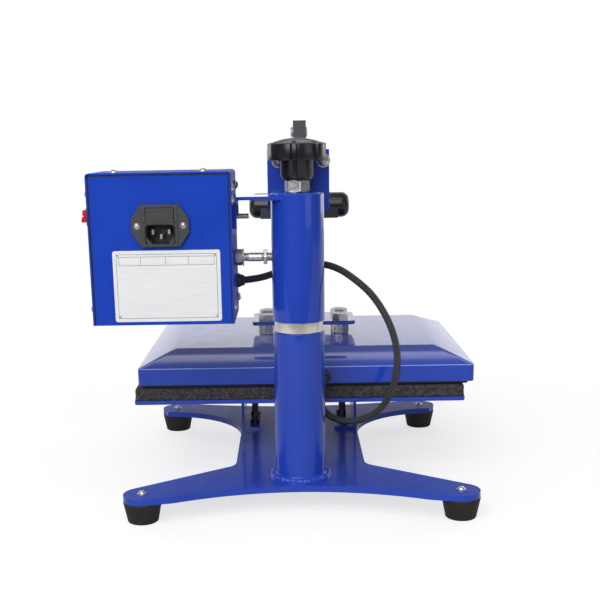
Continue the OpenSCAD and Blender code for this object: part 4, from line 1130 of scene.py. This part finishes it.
def camera_turn():
    """The camera's axes, worked out from where it points."""
    spin = Matrix.Rotation(YAW, 3, "Z")
    forward, right, up = (spin @ Vector(v) for v in ((0, -1, 0), (-1, 0, 0), (0, 0, 1)))
    forward, up = (
        forward * math.cos(PITCH) - up * math.sin(PITCH),
        up * math.cos(PITCH) + forward * math.sin(PITCH),
    )
    right, up = (
        right * math.cos(ROLL) + up * math.sin(ROLL),
        up * math.cos(ROLL) - right * math.sin(ROLL),
    )
    return Matrix((right, up, -forward)).transposed().to_4x4()


camera = placed("camera", bpy.data.cameras.new("camera"))
camera.data.lens = 60.672
camera.data.sensor_width = 36
camera.data.shift_x = 0.0334
camera.data.shift_y = 0.1491
camera.data.clip_start = 0.05
camera.data.clip_end = 50
camera.matrix_world = Matrix.Translation(CAMERA_AT) @ camera_turn()
bpy.context.scene.camera = camera

FLOOR_LIFT = 0.68  # added light that turns the grey floor white where no shadow lies
MIRRORED_FLOOR = 0.3  # share of that light that reflections see
FADE_FROM, FADE_TO = 0.34, 0.62  # metres from the post


def floor_material():
    """Pale matt floor that keeps the shadow and fades to plain white away from the press."""
    m = Nodes("floor_white")
    m.set(Base_Color=(0.38, 0.38, 0.38, 1), Roughness=0.85)
    path = m.add("ShaderNodeLightPath").outputs
    mirrored = m.calc("MULTIPLY", path["Is Glossy Ray"], MIRRORED_FLOOR)
    seen = m.calc("MAXIMUM", path["Is Camera Ray"], mirrored)
    reach = m.add("ShaderNodeVectorMath", {0: m.place}, operation="LENGTH").outputs["Value"]
    lift = m.calc("MULTIPLY", seen, FLOOR_LIFT)
    added = m.add("ShaderNodeEmission", {"Strength": lift}).outputs[0]
    near = m.add("ShaderNodeAddShader", {0: m.shader.outputs[0], 1: added}).outputs[0]
    away = m.calc("MULTIPLY", m.range(reach, FADE_FROM, FADE_TO), seen)
    white = m.add("ShaderNodeEmission", {"Strength": 1.0}).outputs[0]
    mixed = m.add("ShaderNodeMixShader", {0: away, 1: near, 2: white}).outputs[0]
    m.tree.links.new(mixed, m.tree.nodes["Material Output"].inputs["Surface"])
    return m.material


def make_floor():
    mesh = bpy.data.meshes.new("floor")
    half, near, far = 2.5, 0.85, -3.0
    mesh.from_pydata(
        [(-half, far, 0), (half, far, 0), (half, near, 0), (-half, near, 0)], [], [(0, 1, 2, 3)]
    )
    floor = placed("floor", mesh)
    mesh.materials.append(floor_material())


make_floor()

# The world's strengths, and the heights between which each part fades (Z of a unit direction).
LOW_GLOW, LOW_FADE = 1.1, (0.17, 0.26)
BAND_GLOW, BAND_RISE, BAND_FALL = 1.0, (0.40, 0.50), (0.60, 0.74)
SKY_GLOW, SKY_RISE = 0.2, (0.2, 0.9)
DIM_SIDE = 0.1
BEHIND = (-0.3, -0.8)


def make_world():
    """A studio, bright low down and in a band behind the press, and dim behind the camera."""
    world = bpy.data.worlds.new("studio")
    bpy.context.scene.world = world
    world.use_nodes = True
    w = Tree(world.node_tree)
    coords = w.add("ShaderNodeTexCoord").outputs["Generated"]
    axes = w.add("ShaderNodeSeparateXYZ", {0: coords}).outputs

    def span(axis, ends, out_low=0.0, out_high=1.0):
        return w.range(axes[axis], *ends, out_low, out_high, "SMOOTHSTEP")

    low = w.calc("MULTIPLY", span("Z", LOW_FADE, 1.0, 0.0), LOW_GLOW)
    band = w.calc("MULTIPLY", span("Z", BAND_RISE, 0.0, BAND_GLOW), span("Z", BAND_FALL, 1.0, 0.0))
    strip = w.calc("MULTIPLY", span("Y", BEHIND), w.calc("ADD", low, band))
    total = w.calc("ADD", w.calc("ADD", strip, span("Z", SKY_RISE, 0.0, SKY_GLOW)), DIM_SIDE)
    seen = w.add("ShaderNodeLightPath").outputs["Is Camera Ray"]
    mixed = w.add("ShaderNodeMix", {0: seen, 2: total, 3: 1.0}).outputs[0]
    background = w.tree.nodes["Background"].inputs
    w.feed(background["Strength"], mixed)
    background["Color"].default_value = (1, 1, 1, 1)


make_world()


def soft_light(name, at, target, size, power):
    lamp = bpy.data.lights.new(name, "AREA")
    lamp.shape = "RECTANGLE"
    lamp.size, lamp.size_y = size
    lamp.energy = power
    thing = placed(name, lamp)
    thing.location = at
    thing.rotation_euler = (Vector(target) - Vector(at)).to_track_quat("-Z", "Y").to_euler()


soft_light("key_light", (0.6, 1.65, 1.2), (0.03, 0.0, 0.22), (1.7, 1.6), 35)
soft_light("fill_light", (-1.3, 1.2, 0.6), (0, 0, 0.2), (0.9, 1.0), 3)
soft_light("top_light", (0.1, 0.5, 1.6), (0, 0, 0.2), (1.5, 0.25), 4)
soft_light("left_rim", (-1.3, -1.0, 0.55), (0, -0.1, 0.18), (0.5, 0.8), 2.5)
soft_light("right_rim", (1.3, -1.0, 0.55), (0, -0.1, 0.18), (0.5, 0.8), 2.5)

bpy.context.scene.view_settings.view_transform = "Standard"
